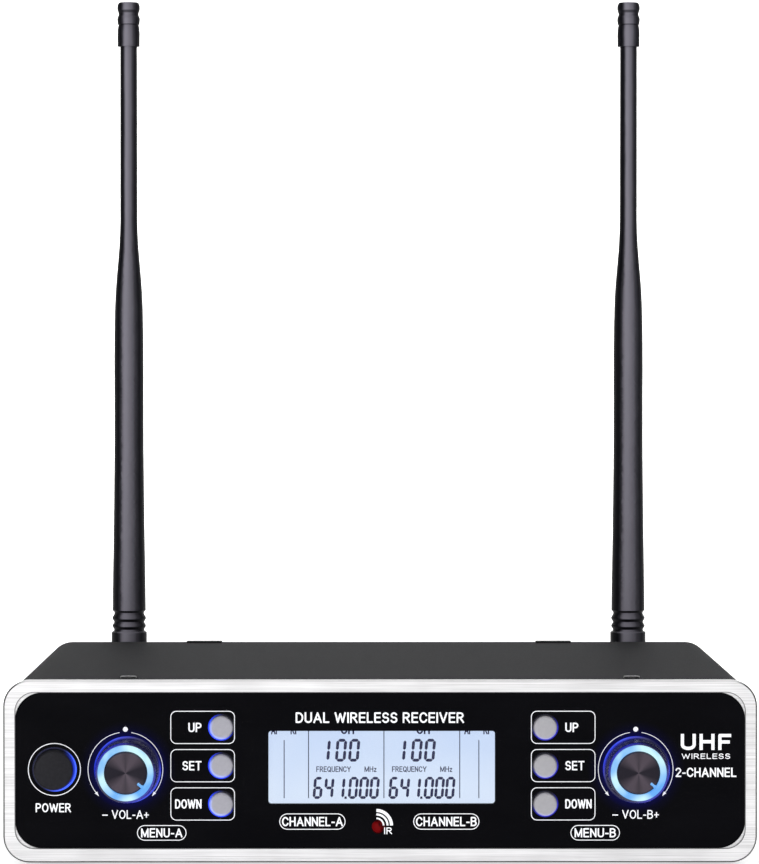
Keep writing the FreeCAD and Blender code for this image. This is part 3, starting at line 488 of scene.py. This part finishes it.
class Marks:
    """Flat marks stood up in XZ, `depth` thick along Y: strips of one width and filled shapes."""

    def __init__(self, depth):
        self.depth = depth
        self.count = 0
        self.bm = bmesh.new()

    def levels(self):
        """Front and back of the next mark. Neighbours are stepped, so that none share a plane."""
        self.count += 1
        return (self.count % LEVELS) * LEVEL_STEP, self.depth

    def strip(self, points, width, closed=False):
        points = [Vector(p) for k, p in enumerate(points)
                  if k == 0 or (Vector(p) - Vector(points[k - 1])).length > 0.01]
        count, rows, levels = len(points), [], self.levels()
        for k, here in enumerate(points):
            back = (here - points[k - 1]).normalized() if closed or k else None
            more = closed or k < count - 1
            ahead = (points[(k + 1) % count] - here).normalized() if more else back
            back = back if back is not None else ahead
            along = (back + ahead).normalized()
            side = Vector((-along.y, along.x))
            reach = width / 2 / max(side.dot(Vector((-back.y, back.x))), MITRE_LIMIT)
            rows.append([self.bm.verts.new((p.x, y, p.y)) for y in levels
                         for p in (here + side * reach, here - side * reach)])
        for one, two in zip(rows, rows[1:] + (rows[:1] if closed else [])):
            for a, b in ((0, 1), (1, 3), (3, 2), (2, 0)):
                self.bm.faces.new((one[a], one[b], two[b], two[a]))
        if not closed:
            for row in (rows[0], rows[-1]):
                self.bm.faces.new((row[0], row[1], row[3], row[2]))

    def plate(self, loop):
        front, rear = ([self.bm.verts.new((x, y, z)) for x, z in loop] for y in self.levels())
        self.bm.faces.new(front)
        self.bm.faces.new(rear)
        for k in range(len(loop)):
            self.bm.faces.new((front[k - 1], front[k], rear[k], rear[k - 1]))

    def pen(self, points, width):
        """A drawn line with square ends and rounded corners; it closes where its ends meet."""
        closed = points[0] == points[-1]
        points = [Vector(p) for p in points]
        legs = [b - a for a, b in zip(points, points[1:])]
        corners = [k for k in range(1, len(legs))
                   if legs[k - 1].angle(legs[k], 0.0) > SHARP_CORNER]
        if closed and not corners:
            self.strip(points[:-1], width, closed=True)
            return
        if not closed:
            points[0] = points[0] - legs[0].normalized() * width / 2
            points[-1] = points[-1] + legs[-1].normalized() * width / 2
        stops = [0, *corners, len(legs)]
        for start, end in zip(stops, stops[1:]):
            self.strip(points[start:end + 1], width)
        for k in corners + [0] * closed:
            self.plate(circle(points[k].x, points[k].y, width / 2, 20))

    def letters(self, text, x, z, cap, width, weight=LETTER_WEIGHT,
                align="centre"):
        """Text with capitals `cap` high, `width` wide and centred on height z. Its lines are
        `weight` of `cap` thick."""
        line, gap = weight * cap, weight + 0.12
        pen, strokes = 0.0, []
        for letter in text:
            glyph_w, parts = GLYPHS[letter]
            strokes += [[(pen + px, pz) for px, pz in part] for part in parts]
            pen += glyph_w + gap
        start = {"centre": x - width / 2, "left": x, "right": x - width}[align] + line / 2
        wide, foot, tall = (width - line) / (pen - gap), z - (cap - line) / 2, cap - line
        for stroke in strokes:
            self.pen([(start + px * wide, foot + pz * tall) for px, pz in stroke], line)

    def mesh(self, name):
        bmesh.ops.recalc_face_normals(self.bm, faces=self.bm.faces)
        made = bpy.data.meshes.new(name)
        self.bm.to_mesh(made)
        self.bm.free()
        return made


def joined(name, meshes):
    bm = bmesh.new()
    for mesh in meshes:
        bm.from_mesh(mesh)
    whole = bpy.data.meshes.new(name)
    bm.to_mesh(whole)
    bm.free()
    return whole


# ---- outlines, as loops of (x, z); angles run clockwise from the top ----
def circle(x, z, r, steps=64):
    return [(x + r * math.sin(a), z + r * math.cos(a))
            for a in (2 * math.pi * k / steps for k in range(steps))]


def arc(x, z, r, start, end, steps=40):
    turns = [math.radians(start + (end - start) * k / steps) for k in range(steps + 1)]
    return [(x + r * math.sin(a), z + r * math.cos(a)) for a in turns]


def rounded_box(x, z, w, h, r, steps=8):
    corners = ((1, 1, 0), (1, -1, 90), (-1, -1, 180), (-1, 1, 270))
    loop = []
    for sx, sz, start in corners:
        loop += arc(x + sx * (w / 2 - r), z + sz * (h / 2 - r), r, start, start + 90, steps)
    return loop


def bend(x, z, rx, rz, start, end, steps=10):
    """Part of an ellipse, for the letters."""
    turns = [math.radians(start + (end - start) * k / steps) for k in range(steps + 1)]
    return [(x + rx * math.sin(a), z + rz * math.cos(a)) for a in turns]


def letter_o(w=0.62):
    oval = bend(w / 2, 0.5, w / 2, 0.5, 0, 360, 24)
    return oval[:-1] + oval[:1]


# ---- letters as strokes: width, then lines through (x, z) with the capitals 1 high ----
GLYPHS = {
    " ": (0.10, []),
    "-": (0.22, [[(0, 0.40), (0.22, 0.40)]]),
    "−": (0.52, [[(0, 0.42), (0.52, 0.42)]]),
    "+": (0.42, [[(0, 0.44), (0.42, 0.44)], [(0.21, 0.16), (0.21, 0.72)]]),
    "2": (0.48, [bend(0.24, 0.73, 0.24, 0.27, -75, 110) + [(0, 0), (0.48, 0)]]),
    "A": (0.64, [[(0, 0), (0.32, 1), (0.64, 0)], [(0.13, 0.32), (0.51, 0.32)]]),
    "C": (0.58, [bend(0.31, 0.5, 0.31, 0.5, 58, -238, 18)]),
    "D": (0.56, [[(0, 0), (0, 1), (0.22, 1)] + bend(0.22, 0.5, 0.34, 0.5, 0, 180) + [(0, 0)]]),
    "B": (0.52, [[(0, 0), (0, 1), (0.26, 1)] + bend(0.26, 0.77, 0.22, 0.23, 0, 180) + [(0, 0.54)],
                 [(0.26, 0.54)] + bend(0.26, 0.27, 0.26, 0.27, 0, 180) + [(0, 0)]]),
    "E": (0.46, [[(0.46, 1), (0, 1), (0, 0), (0.46, 0)], [(0, 0.52), (0.42, 0.52)]]),
    "F": (0.44, [[(0.44, 1), (0, 1), (0, 0)], [(0, 0.50), (0.38, 0.50)]]),
    "H": (0.54, [[(0, 0), (0, 1)], [(0.54, 0), (0.54, 1)], [(0, 0.52), (0.54, 0.52)]]),
    "I": (0.0, [[(0, 0), (0, 1)]]),
    "L": (0.42, [[(0, 1), (0, 0), (0.42, 0)]]),
    "M": (0.68, [[(0, 0), (0, 1), (0.34, 0.06), (0.68, 1), (0.68, 0)]]),
    "N": (0.54, [[(0, 0), (0, 1), (0.54, 0), (0.54, 1)]]),
    "O": (0.62, [letter_o()]),
    "P": (0.50, [[(0, 0), (0, 1), (0.25, 1)] + bend(0.25, 0.735, 0.25, 0.265, 0, 180)
                 + [(0, 0.47)]]),
    "Q": (0.62, [letter_o(), [(0.36, 0.24), (0.64, -0.06)]]),
    "R": (0.54, [[(0, 0), (0, 1), (0.26, 1)] + bend(0.26, 0.75, 0.24, 0.25, 0, 180) + [(0, 0.50)],
                 [(0.24, 0.50), (0.54, 0)]]),
    "S": (0.50, [bend(0.25, 0.75, 0.23, 0.25, 66, -170, 12)
                 + bend(0.25, 0.26, 0.25, 0.26, 10, 248, 12)]),
    "T": (0.54, [[(0, 1), (0.54, 1)], [(0.27, 1), (0.27, 0)]]),
    "U": (0.54, [[(0, 1)] + bend(0.27, 0.28, 0.27, 0.28, 270, 90) + [(0.54, 1)]]),
    "V": (0.60, [[(0, 1), (0.30, 0), (0.60, 1)]]),
    "W": (0.90, [[(0, 1), (0.22, 0), (0.45, 0.92), (0.68, 0), (0.90, 1)]]),
    "X": (0.58, [[(0, 0), (0.58, 1)], [(0, 1), (0.58, 0)]]),
    "Y": (0.58, [[(0, 1), (0.29, 0.42), (0.58, 1)], [(0.29, 0.42), (0.29, 0)]]),
    "z": (0.34, [[(0, 0.66), (0.34, 0.66), (0, 0), (0.34, 0)]]),
}


# ---- printed legends on the panel and on the back ----
LINE = 0.20
INK_DEPTH = 0.02
LABEL_CAP = 2.5
SMALL_WEIGHT = 0.15
MENU_WIDTHS = {"up": 3.5, "set": 5.1, "down": 7.05}
BOX_W, BOX_H, BOX_R = 16.95, 8.6, 1.5
# per channel: box centre from the button, label edge from the button, label alignment
MENU_LAYOUT = {"a": (-4.95, -5.25, "right"), "b": (4.8, 5.35, "left")}
POWER_CIRCLE_R = 6.94
SCALE_X = {"a": -67.8, "b": 68.0}
SCALE_R, SCALE_GAP_DEG, SCALE_END_DEG = 9.95, 9.0, 128.0
ARROW_HALF_W, ARROW_L = 0.4, 1.25
ZERO_DOT_UP, ZERO_DOT_R = 10.7, 0.66
WAVES = ((1.9, 0.42), (2.95, 0.54), (4.0, 0.82))        # radius and line of each radio wave
# per channel: the X of the menu's tag and of the channel's tag, both pills
TAG_X = {"a": (-58.15, -18.05), "b": (57.25, 17.6)}
MENU_TAG_Z, MENU_TAG_W, MENU_TAG_H = 9.5, 12.95, 3.9
CHANNEL_TAG_Z, CHANNEL_TAG_W, CHANNEL_TAG_H = 12.5, 17.4, 4.1
MARK_X = 86.7
# words, then the X, the Z, the capital height, the width and the weight
FRONT_LEGENDS = (("POWER", POWER.x - 0.3, POWER.z - 10.2, 2.4, 9.4, 0.145),
                 ("DUAL WIRELESS RECEIVER", WINDOW.x - 0.5, 40.2, 2.85, 44.8, LETTER_WEIGHT),
                 ("IR", IR.x + 2.6, IR.z - 1.05, 1.8, 2.1, SMALL_WEIGHT),
                 ("UHF", MARK_X, 33.7, 4.3, 13.4, 0.2),
                 ("WIRELESS", MARK_X, 29.9, 1.45, 12.9, SMALL_WEIGHT),
                 ("2-CHANNEL", MARK_X, 25.6, LABEL_CAP, 16.2, LETTER_WEIGHT))
REAR_CAP = 2.2
REAR_FACE = cad_box_mm("rear_panel")[1].y
# words, then the X as seen from behind, the Z and the width
REAR_LEGENDS = (("ANT A", -89.0, 44.2, 9.0), ("CHANNEL A OUT", -38.0, 45.4, 25.0),
                ("ANT B", 89.0, 44.2, 9.0), ("CHANNEL B OUT", 38.0, 45.4, 25.0),
                ("MIX OUT", 0, 38.6, 12.0), ("DC IN", -60.0, 34.6, 8.0))
# The painted shadow line round the recess: width, depth, reach outside the panel and corner radius.
PAINTED_SHADOW_LINE, PAINTED_SHADOW_DEPTH, PAINTED_SHADOW_OUT, PAINTED_SHADOW_R = 0.2, 0.3, 0.13, 5.2


def knob_scale(marks, x, z):
    """The travel arcs round a knob, with an arrowhead at each end and a dot at the top."""
    for sign in (-1, 1):
        marks.strip(arc(x, z, SCALE_R, sign * SCALE_GAP_DEG, sign * SCALE_END_DEG), LINE * 0.85)
        a = math.radians(sign * SCALE_END_DEG)
        end = Vector((x + SCALE_R * math.sin(a), z + SCALE_R * math.cos(a)))
        along = Vector((sign * math.cos(a), -sign * math.sin(a)))
        across = Vector((along.y, -along.x)) * ARROW_HALF_W
        marks.plate([end + across, end - across, end + along * ARROW_L])
    marks.plate(circle(x, z + ZERO_DOT_UP, ZERO_DOT_R, 32))


def pill(marks, x, z, w, h):
    marks.strip(rounded_box(x, z, w, h, h / 2), LINE, closed=True)


def panel_marks():
    """Everything that is printed on the panel."""
    marks = Marks(INK_DEPTH)
    marks.strip(circle(POWER.x, POWER.z, POWER_CIRCLE_R), LINE, closed=True)
    for radius, line in WAVES:
        marks.strip(arc(IR.x - 0.5, IR.z + 0.36, radius, 0, 90, 16), line)
    for side, knob in KNOBS.items():
        knob_scale(marks, SCALE_X[side], knob.z)
        box_dx, label_dx, align = MENU_LAYOUT[side]
        for row in MENU_ROWS:
            at = cad_centre(f"{row}_button_{side}")
            marks.strip(rounded_box(at.x + box_dx, at.z, BOX_W, BOX_H, BOX_R), LINE, closed=True)
            marks.letters(row.upper(), at.x + label_dx, at.z, LABEL_CAP, MENU_WIDTHS[row],
                          align=align)
        menu_x, channel_x = TAG_X[side]
        pill(marks, menu_x, MENU_TAG_Z, MENU_TAG_W, MENU_TAG_H)
        pill(marks, channel_x, CHANNEL_TAG_Z, CHANNEL_TAG_W, CHANNEL_TAG_H)
        letter = side.upper()
        marks.letters(f"MENU-{letter}", menu_x, MENU_TAG_Z, 2.45, 11.0)
        marks.letters(f"CHANNEL-{letter}", channel_x, CHANNEL_TAG_Z, LABEL_CAP, 16.2)
        marks.letters(f"− VOL-{letter}+", SCALE_X[side], knob.z - 12.0, 2.35, 12.4, 0.13)
    for legend in FRONT_LEGENDS:
        marks.letters(*legend)
    return marks.mesh("panel_marks")


def rear_marks():
    """Legends on the back, drawn as seen from behind and then turned round."""
    marks = Marks(INK_DEPTH)
    for words, x, z, width in REAR_LEGENDS:
        marks.letters(words, x, z, REAR_CAP, width, SMALL_WEIGHT)
    mesh = marks.mesh("rear_marks")
    mesh.transform(Matrix.Rotation(math.pi, 4, "Z"))
    return mesh


def painted_recess_shadow():
    """A narrow dark line on the frame, just outside the panel's outline: a painted shadow along the
    recess edge.
    """
    low, high = cad_box_mm("front_panel")
    marks = Marks(PAINTED_SHADOW_DEPTH)
    marks.strip(rounded_box(0, (low.z + high.z) / 2, high.x - low.x + 2 * PAINTED_SHADOW_OUT,
                            high.z - low.z + 2 * PAINTED_SHADOW_OUT, PAINTED_SHADOW_R, 16), PAINTED_SHADOW_LINE, closed=True)
    return marks.mesh("painted_recess_shadow")


piece("panel_marks", panel_marks(), WHITE_INK, "receiver",
      (0, PANEL_FACE - INK_DEPTH, 0))
piece("rear_marks", rear_marks(), WHITE_INK, "receiver",
      (0, REAR_FACE + INK_DEPTH, 0))
piece("painted_recess_shadow", painted_recess_shadow(), SHADOW_PAINT, "receiver",
      (0, FRAME_FACE - 0.01, 0))


# ---- what the display shows ----
SEGMENTS = {"0": "abcdef", "1": "bc", "4": "bcfg", "6": "acdefg"}
SLANT = 0.085
BAR_GAP = 0.10
LCD_INK_DEPTH = 0.04
LCD_RULE_LINE = 0.24
LCD_RULE_FOOT, LCD_RULE_TOP, LCD_METER_TOP = -8.4, 9.6, 7.1
LCD_RULES = ((-26.0, LCD_METER_TOP), (-19.5, LCD_RULE_TOP), (0.6, LCD_RULE_TOP),
             (20.8, LCD_RULE_TOP), (25.9, LCD_METER_TOP))        # X and top of each line
LCD_CHANNELS = (-9.43, 10.75)       # X of each channel's block
LEVEL_DIGITS = (("1", -5.75), ("0", -1.4), ("0", 2.1))
FREQUENCY_DIGITS = (("6", -7.55), ("4", -4.6), ("1", -1.65), ("0", 1.85), ("0", 4.68), ("0", 7.5))
# per row: its digits with their X, then the Z, the width, the height and the line
DIGIT_ROWS = ((LEVEL_DIGITS, 4.4, 2.85, 6.1, 0.79), (FREQUENCY_DIGITS, -5.65, 2.5, 5.9, 0.75))
POINT_X, POINT_Z, POINT_SIZE = -0.19, (-8.6, -7.95), 0.6
# words, then the X, the Z, the capital height, the width and the weight
CHANNEL_WORDS = (("FREQUENCY", -3.4, -0.65, 1.5, 9.2, 0.15), ("MHz", 6.45, -0.65, 1.5, 3.2, 0.15),
                 ("CH", 0.3, 9.85, 2.3, 3.6, 0.2))
METER_WORDS = (("AF", -28.4), ("RF", -23.2), ("AF", 23.1), ("RF", 28.2))


def segment(x, z, length, line, upright):
    """One bar of a seven-segment digit, with mitred ends."""
    half, mitre = length / 2, line / 2
    bar = [(-half, 0), (-half + mitre, mitre), (half - mitre, mitre), (half, 0),
           (half - mitre, -mitre), (-half + mitre, -mitre)]
    if upright:
        bar = [(b, a) for a, b in reversed(bar)]
    return [(x + a, z + b) for a, b in bar]


def digit(marks, value, x, z, w, h, line):
    """A digit centred on x, z, as slanted bars."""
    across, up = w - line, (h - line) / 2
    reach_x, reach_z = across - BAR_GAP, up - BAR_GAP
    bars = {"a": (0, up, False), "g": (0, 0, False), "d": (0, -up, False),
            "b": (across / 2, up / 2, True), "c": (across / 2, -up / 2, True),
            "e": (-across / 2, -up / 2, True), "f": (-across / 2, up / 2, True)}
    for key in SEGMENTS[value]:
        bx, bz, upright = bars[key]
        loop = segment(bx, bz, reach_z if upright else reach_x, line, upright)
        marks.plate([(x + a + b * SLANT, z + b) for a, b in loop])


def display_marks():
    """Both channels' level and frequency, their words, the rules between them and the meters."""
    marks = Marks(LCD_INK_DEPTH)
    for dx, top in LCD_RULES:
        marks.strip([(WINDOW.x + dx, WINDOW.z + LCD_RULE_FOOT), (WINDOW.x + dx, WINDOW.z + top)],
                    LCD_RULE_LINE)
    for middle in LCD_CHANNELS:
        x = WINDOW.x + middle
        for values, dz, w, h, line in DIGIT_ROWS:
            for value, dx in values:
                digit(marks, value, x + dx, WINDOW.z + dz, w, h, line)
        marks.strip([(x + POINT_X, WINDOW.z + dz) for dz in POINT_Z], POINT_SIZE)
        for words, dx, dz, cap, width, weight in CHANNEL_WORDS:
            marks.letters(words, x + dx, WINDOW.z + dz, cap, width, weight)
    for words, dx in METER_WORDS:
        marks.letters(words, WINDOW.x + dx, WINDOW.z + 9.75, 2.2, 2.2, SMALL_WEIGHT)
    return marks.mesh("display_marks")


piece("display_contents", display_marks(), LCD_INK, "receiver",
      (0, LCD_FACE - LCD_INK_DEPTH, 0))


# ---- turned pieces: buttons and knobs ----
def turned(profile, steps=128, closed=True):
    """A mesh turned about Y from (radius, y) points."""
    bm = bmesh.new()
    rows = []
    for r, y in profile:
        if r < 1e-6:
            rows.append([bm.verts.new((0, y, 0))])
        else:
            rows.append([bm.verts.new((r * math.sin(a), y, r * math.cos(a)))
                         for a in (2 * math.pi * k / steps for k in range(steps))])
    pairs = list(zip(rows, rows[1:] + rows[:1])) if closed else list(zip(rows, rows[1:]))
    for one, two in pairs:
        for k in range(steps):
            n = (k + 1) % steps
            corners = [one[k % len(one)], one[n % len(one)], two[n % len(two)], two[k % len(two)]]
            unique = list(dict.fromkeys(corners))
            if len(unique) > 2:
                bm.faces.new(unique)
    bmesh.ops.recalc_face_normals(bm, faces=bm.faces)
    mesh = bpy.data.meshes.new("turned")
    bm.to_mesh(mesh)
    bm.free()
    return mesh


def round_over(r, y, radius, steps=6):
    """Points of a quarter round from the face at y into the side at radius r."""
    return [(r - radius + radius * math.sin(a), y + radius - radius * math.cos(a))
            for a in (math.pi / 2 * k / steps for k in range(steps + 1))]


def soften(obj, degrees=35):
    """Smooth faces with crisp edges."""
    for face in obj.data.polygons:
        face.use_smooth = True
    obj.data.set_sharp_from_angle(angle=math.radians(degrees))


MENU_CAP = {"cap_r": 3.1, "rim": 0.7, "crown": 0.12}
POWER_CAP_SIZES = {"cap_r": 5.4, "rim": 0.9, "crown": 0.15}
MENU_COLLAR = {"outer_r": 3.5, "wall": 0.25, "flange_r": 4.9}
POWER_COLLAR = {"outer_r": 5.9, "wall": 0.35, "flange_r": 6.7}
STEM_SHARE = 0.45                   # of the cap's radius
FLANGE_SHARES = (0.52, 0.53, 0.61)  # of the button's length: cap's end, flange's front and back
COLLAR_FLANGE = 0.9                 # thickness


def button_cap(node, material, slot, cap_r, rim, crown):
    """A push button: a slightly crowned cap with a soft rim, its flange and its stem."""
    low, high = cad_box_mm(node)
    at = cad_centre(node)
    flange_r, stem_r, back = (high.x - low.x) / 2, cap_r * STEM_SHARE, high.y - low.y
    cap_end, flange_front, flange_back = (back * share for share in FLANGE_SHARES)
    face = [(0, 0.0), (stem_r, crown * 0.2), (cap_r - rim, crown)]
    side = round_over(cap_r, crown, rim)[1:]
    flange = [(cap_r, cap_end), (flange_r, flange_front), (flange_r, flange_back),
              (stem_r, flange_back), (stem_r, back), (0, back)]
    mesh = turned(face + side + flange, closed=False)
    obj = piece(f"{node}_cap", mesh, material, node, (at.x, low.y, at.z))
    soften(obj)
    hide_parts(node)


def glow_ring(name, node, at, material, outer_r, wall, flange_r):
    """A clear collar round a button, with the flange that joins it to its light guide."""
    low, high = cad_box_mm(node)
    back = high.y - low.y
    mesh = turned([(outer_r - wall, 0.0), (outer_r, 0.0), (outer_r, back - COLLAR_FLANGE),
                   (flange_r, back - COLLAR_FLANGE), (flange_r, back), (outer_r - wall, back)])
    obj = piece(name, mesh, material, "receiver", (at.x, low.y, at.z))
    soften(obj)
    return obj


for side, material in (("a", CAP_A), ("b", CAP_B)):
    for row in MENU_ROWS:
        button_cap(f"{row}_button_{side}", material, "button_grey", **MENU_CAP)
button_cap("power_button", POWER_CAP, "dark_plastic", **POWER_CAP_SIZES)

glow = glow_ring("power_glow_ring", "power_light_ring", POWER, POWER_GUIDE, **POWER_COLLAR)
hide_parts("power_light_ring")
for side, material in (("a", GUIDE_A), ("b", GUIDE_B)):
    for row in MENU_ROWS:
        at = cad_centre(f"{row}_button_{side}")
        glow = glow_ring(f"{row}_glow_ring_{side}", "menu_light_guides", at, material,
                         **MENU_COLLAR)
        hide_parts("menu_light_guides")

KNURL_COUNT = 60
KNURL_DEPTH = 0.14
KNURL_TWIST = 0.9 * 2 * math.pi / 1.6       # phase of a groove per millimetre of depth
# the knob, as radii and as distances from its foot or its face: lip and grip, the two wells in
# its face, the lit ring in the outer one, the ring's pointer, and the spun cap in the inner one
LIP_R_IN, LIP_EDGE, LIP_H, LIP_TAPER = 7.4, 0.15, 0.75, (0.12, 0.9)
GRIP_FOOT_R, GRIP_TOP_R, GRIP_FOOT, GRIP_TOP = 8.42, 8.0, 1.2, 0.75
RING_WELL, CAP_WELL_R, CAP_WELL = 3.7, 5.75, 1.0
RING_IN, RING_OUT, RING_H = 5.8, 7.36, 3.8
RING_ROUND_IN, RING_ROUND_OUT = 0.18, 0.25
POINTER_SIZE, POINTER_R, POINTER_SINK, POINTER_DEG = (0.85, 1.0, 1.9), 5.0, 0.5, 130
SPUN_R, SPUN_ROUND, SPUN_H = 5.6, 0.25, 1.1
SPUN_DIMPLE = ((0, 0.12), (0.35, 0.10), (0.6, 0.0))     # radius and depth in the middle


def knurled_side(r_foot, r_top, y_foot, y_top, rows=26, steps=480):
    """The grip between two radii, cut with crossing grooves."""
    shares = [row / rows for row in range(rows + 1)]
    mesh = turned([(r_foot + (r_top - r_foot) * t, y_foot + (y_top - y_foot) * t)
                   for t in shares], steps=steps, closed=False)
    for vertex in mesh.vertices:
        along = math.atan2(vertex.co.x, vertex.co.z) * KNURL_COUNT
        twist = vertex.co.y * KNURL_TWIST
        one = abs(math.sin((along + twist) / 2))
        two = abs(math.sin((along - twist) / 2))
        inward = KNURL_DEPTH * (1 - min(one, two))
        r = math.hypot(vertex.co.x, vertex.co.z)
        vertex.co.x *= (r - inward) / r
        vertex.co.z *= (r - inward) / r
    return mesh


def pointer(front):
    """The small bar that points inward from the lit ring, whose face is at `front`."""
    mesh = bpy.data.meshes.new("pointer")
    bm = bmesh.new()
    place = Matrix.Translation((0, front + POINTER_SINK, POINTER_R))
    bmesh.ops.create_cube(bm, size=1.0, matrix=place @ Matrix.Diagonal((*POINTER_SIZE, 1)))
    bmesh.ops.bevel(bm, geom=bm.edges[:], offset=0.2, segments=3, affect="EDGES")
    bm.to_mesh(mesh)
    bm.free()
    mesh.transform(Matrix.Rotation(math.radians(POINTER_DEG), 4, "Y"))
    return mesh


def knob(side):
    """The grip with its two rims, the lit ring with its pointer and the spun cap."""
    body = f"knob_{side}"
    skirt_low, skirt_high = cad_box_mm(f"knob_{side}_skirt")
    at = cad_centre(f"knob_{side}_skirt")
    origin = (at.x, FRAME_FACE, at.z)
    foot, base_r = skirt_high.y - FRAME_FACE, (skirt_high.x - skirt_low.x) / 2
    face = skirt_low.y - FRAME_FACE
    lip = turned([(LIP_R_IN, foot), (base_r - LIP_EDGE, foot), (base_r, foot - LIP_EDGE),
                  (base_r, foot - LIP_H), (base_r - LIP_TAPER[0], foot - LIP_TAPER[1]),
                  (GRIP_FOOT_R, foot - GRIP_FOOT), (LIP_R_IN, foot - GRIP_FOOT)])
    grip = knurled_side(GRIP_FOOT_R, GRIP_TOP_R, foot - GRIP_FOOT, face + GRIP_TOP)
    shoulder = turned([(GRIP_TOP_R, face + GRIP_TOP), (7.98, face + 0.45), (7.85, face + 0.15),
                       (7.6, face), (LIP_R_IN, face), (LIP_R_IN, face + RING_WELL),
                       (CAP_WELL_R, face + RING_WELL), (CAP_WELL_R, face + CAP_WELL),
                       (0, face + CAP_WELL)], closed=False)
    skirt = piece(f"knob_{side}_grip", joined("grip", [lip, grip, shoulder]), SKIRT, body,
                  origin)
    soften(skirt, 30)
    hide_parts(f"knob_{side}_skirt")

    front = cad_box_mm(f"knob_{side}_light_ring")[0].y - FRAME_FACE
    light = turned([(RING_IN, front + RING_H), (RING_IN, front + RING_ROUND_IN),
                    (RING_IN + RING_ROUND_IN, front), (RING_OUT - RING_ROUND_OUT, front),
                    (RING_OUT, front + RING_ROUND_OUT), (RING_OUT, front + RING_H)])
    ring_piece = piece(f"knob_{side}_lit_ring", joined("lit_ring", [light, pointer(front)]),
                       RING_LIGHT, body, origin)
    soften(ring_piece)
    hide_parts(f"knob_{side}_light_ring")

    front = cad_box_mm(f"knob_{side}_cap")[0].y - FRAME_FACE
    disc = turned([(r, front + depth) for r, depth in SPUN_DIMPLE]
                  + [(SPUN_R - SPUN_ROUND, front), (SPUN_R, front + SPUN_ROUND),
                     (SPUN_R, front + SPUN_H), (0, front + SPUN_H)], closed=False)
    cap = piece(f"knob_{side}_spun_cap", disc, SPUN, body, origin)
    soften(cap)
    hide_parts(f"knob_{side}_cap")


for side in KNOBS:
    knob(side)


# ---- floor, light and camera ----
def floor():
    """A pale floor that curves up into a backdrop far behind the object."""
    half, near, far, radius, top = 6.0, -4.0, 3.0, 1.0, 4.0
    profile = [(near, 0.0), (far, 0.0)]
    profile += [(far + radius * math.sin(a), radius - radius * math.cos(a))
                for a in (math.pi / 2 * k / 16 for k in range(1, 17))]
    profile.append((far + radius, top))
    bm = bmesh.new()
    rows = [[bm.verts.new((x, y, z)) for x in (-half, half)] for y, z in profile]
    for one, two in zip(rows, rows[1:]):
        bm.faces.new((one[0], one[1], two[1], two[0]))
    mesh = bpy.data.meshes.new("floor")
    bm.to_mesh(mesh)
    bm.free()
    paint = Material("pale_floor", (0.92, 0.92, 0.92), 0.9, spec=0.05, Emission_Strength=0.62,
                     Emission_Color=(1.0, 1.0, 1.0))
    paint.link(paint.span(paint.noise(0.002, detail=2.0), 0.3, 0.7, 0.85, 0.95), "Roughness")
    mesh.materials.append(paint.data)
    obj = bpy.data.objects.new("floor", mesh)
    bpy.context.scene.collection.objects.link(obj)
    for face in mesh.polygons:
        face.use_smooth = True


def softbox(name, at, aim, width, height, power):
    lamp = bpy.data.lights.new(name, "AREA")
    lamp.shape = "RECTANGLE"
    lamp.size, lamp.size_y, lamp.energy = width, height, power
    obj = bpy.data.objects.new(name, lamp)
    bpy.context.scene.collection.objects.link(obj)
    obj.location = at
    obj.rotation_euler = (Vector(aim) - Vector(at)).to_track_quat("-Z", "Y").to_euler()


def studio():
    """Two softboxes in front, one overhead, and one that whitens the backdrop. Metres and watts."""
    middle = (0.0, 0.0, 0.10)
    softbox("front_key", (-0.75, -1.75, 0.55), middle, 1.1, 1.1, 10.5)
    softbox("front_fill", (0.75, -1.8, 0.6), middle, 1.0, 1.0, 5.5)
    softbox("overhead", (0.0, 0.3, 2.2), middle, 2.6, 2.0, 18.0)
    softbox("back_wash", (0.0, 2.6, 1.8), (0.0, 3.2, 0.2), 4.0, 1.0, 60.0)
    world = bpy.data.worlds.new("studio")
    world.use_nodes = True
    background = world.node_tree.nodes["Background"].inputs
    background["Color"].default_value = (1.0, 1.0, 1.0, 1.0)
    background["Strength"].default_value = 0.25
    bpy.context.scene.world = world
    bpy.context.scene.view_settings.view_transform = "Standard"


def camera():
    """Nearly straight on, above the case and over a metre away, with a long lens."""
    distance, height, pitch, yaw, lens = 1.150, 0.1369, 1.03, 0.15, 180.4
    data = bpy.data.cameras.new("camera")
    data.lens, data.sensor_width = lens, 36.0
    data.clip_start, data.clip_end = 0.05, 50.0
    obj = bpy.data.objects.new("camera", data)
    bpy.context.scene.collection.objects.link(obj)
    obj.location = (-0.0032, FRAME_FACE * MM - distance, height)
    obj.rotation_euler = (math.radians(90 - pitch), 0, math.radians(-yaw))
    bpy.context.scene.camera = obj


floor()
studio()
camera()
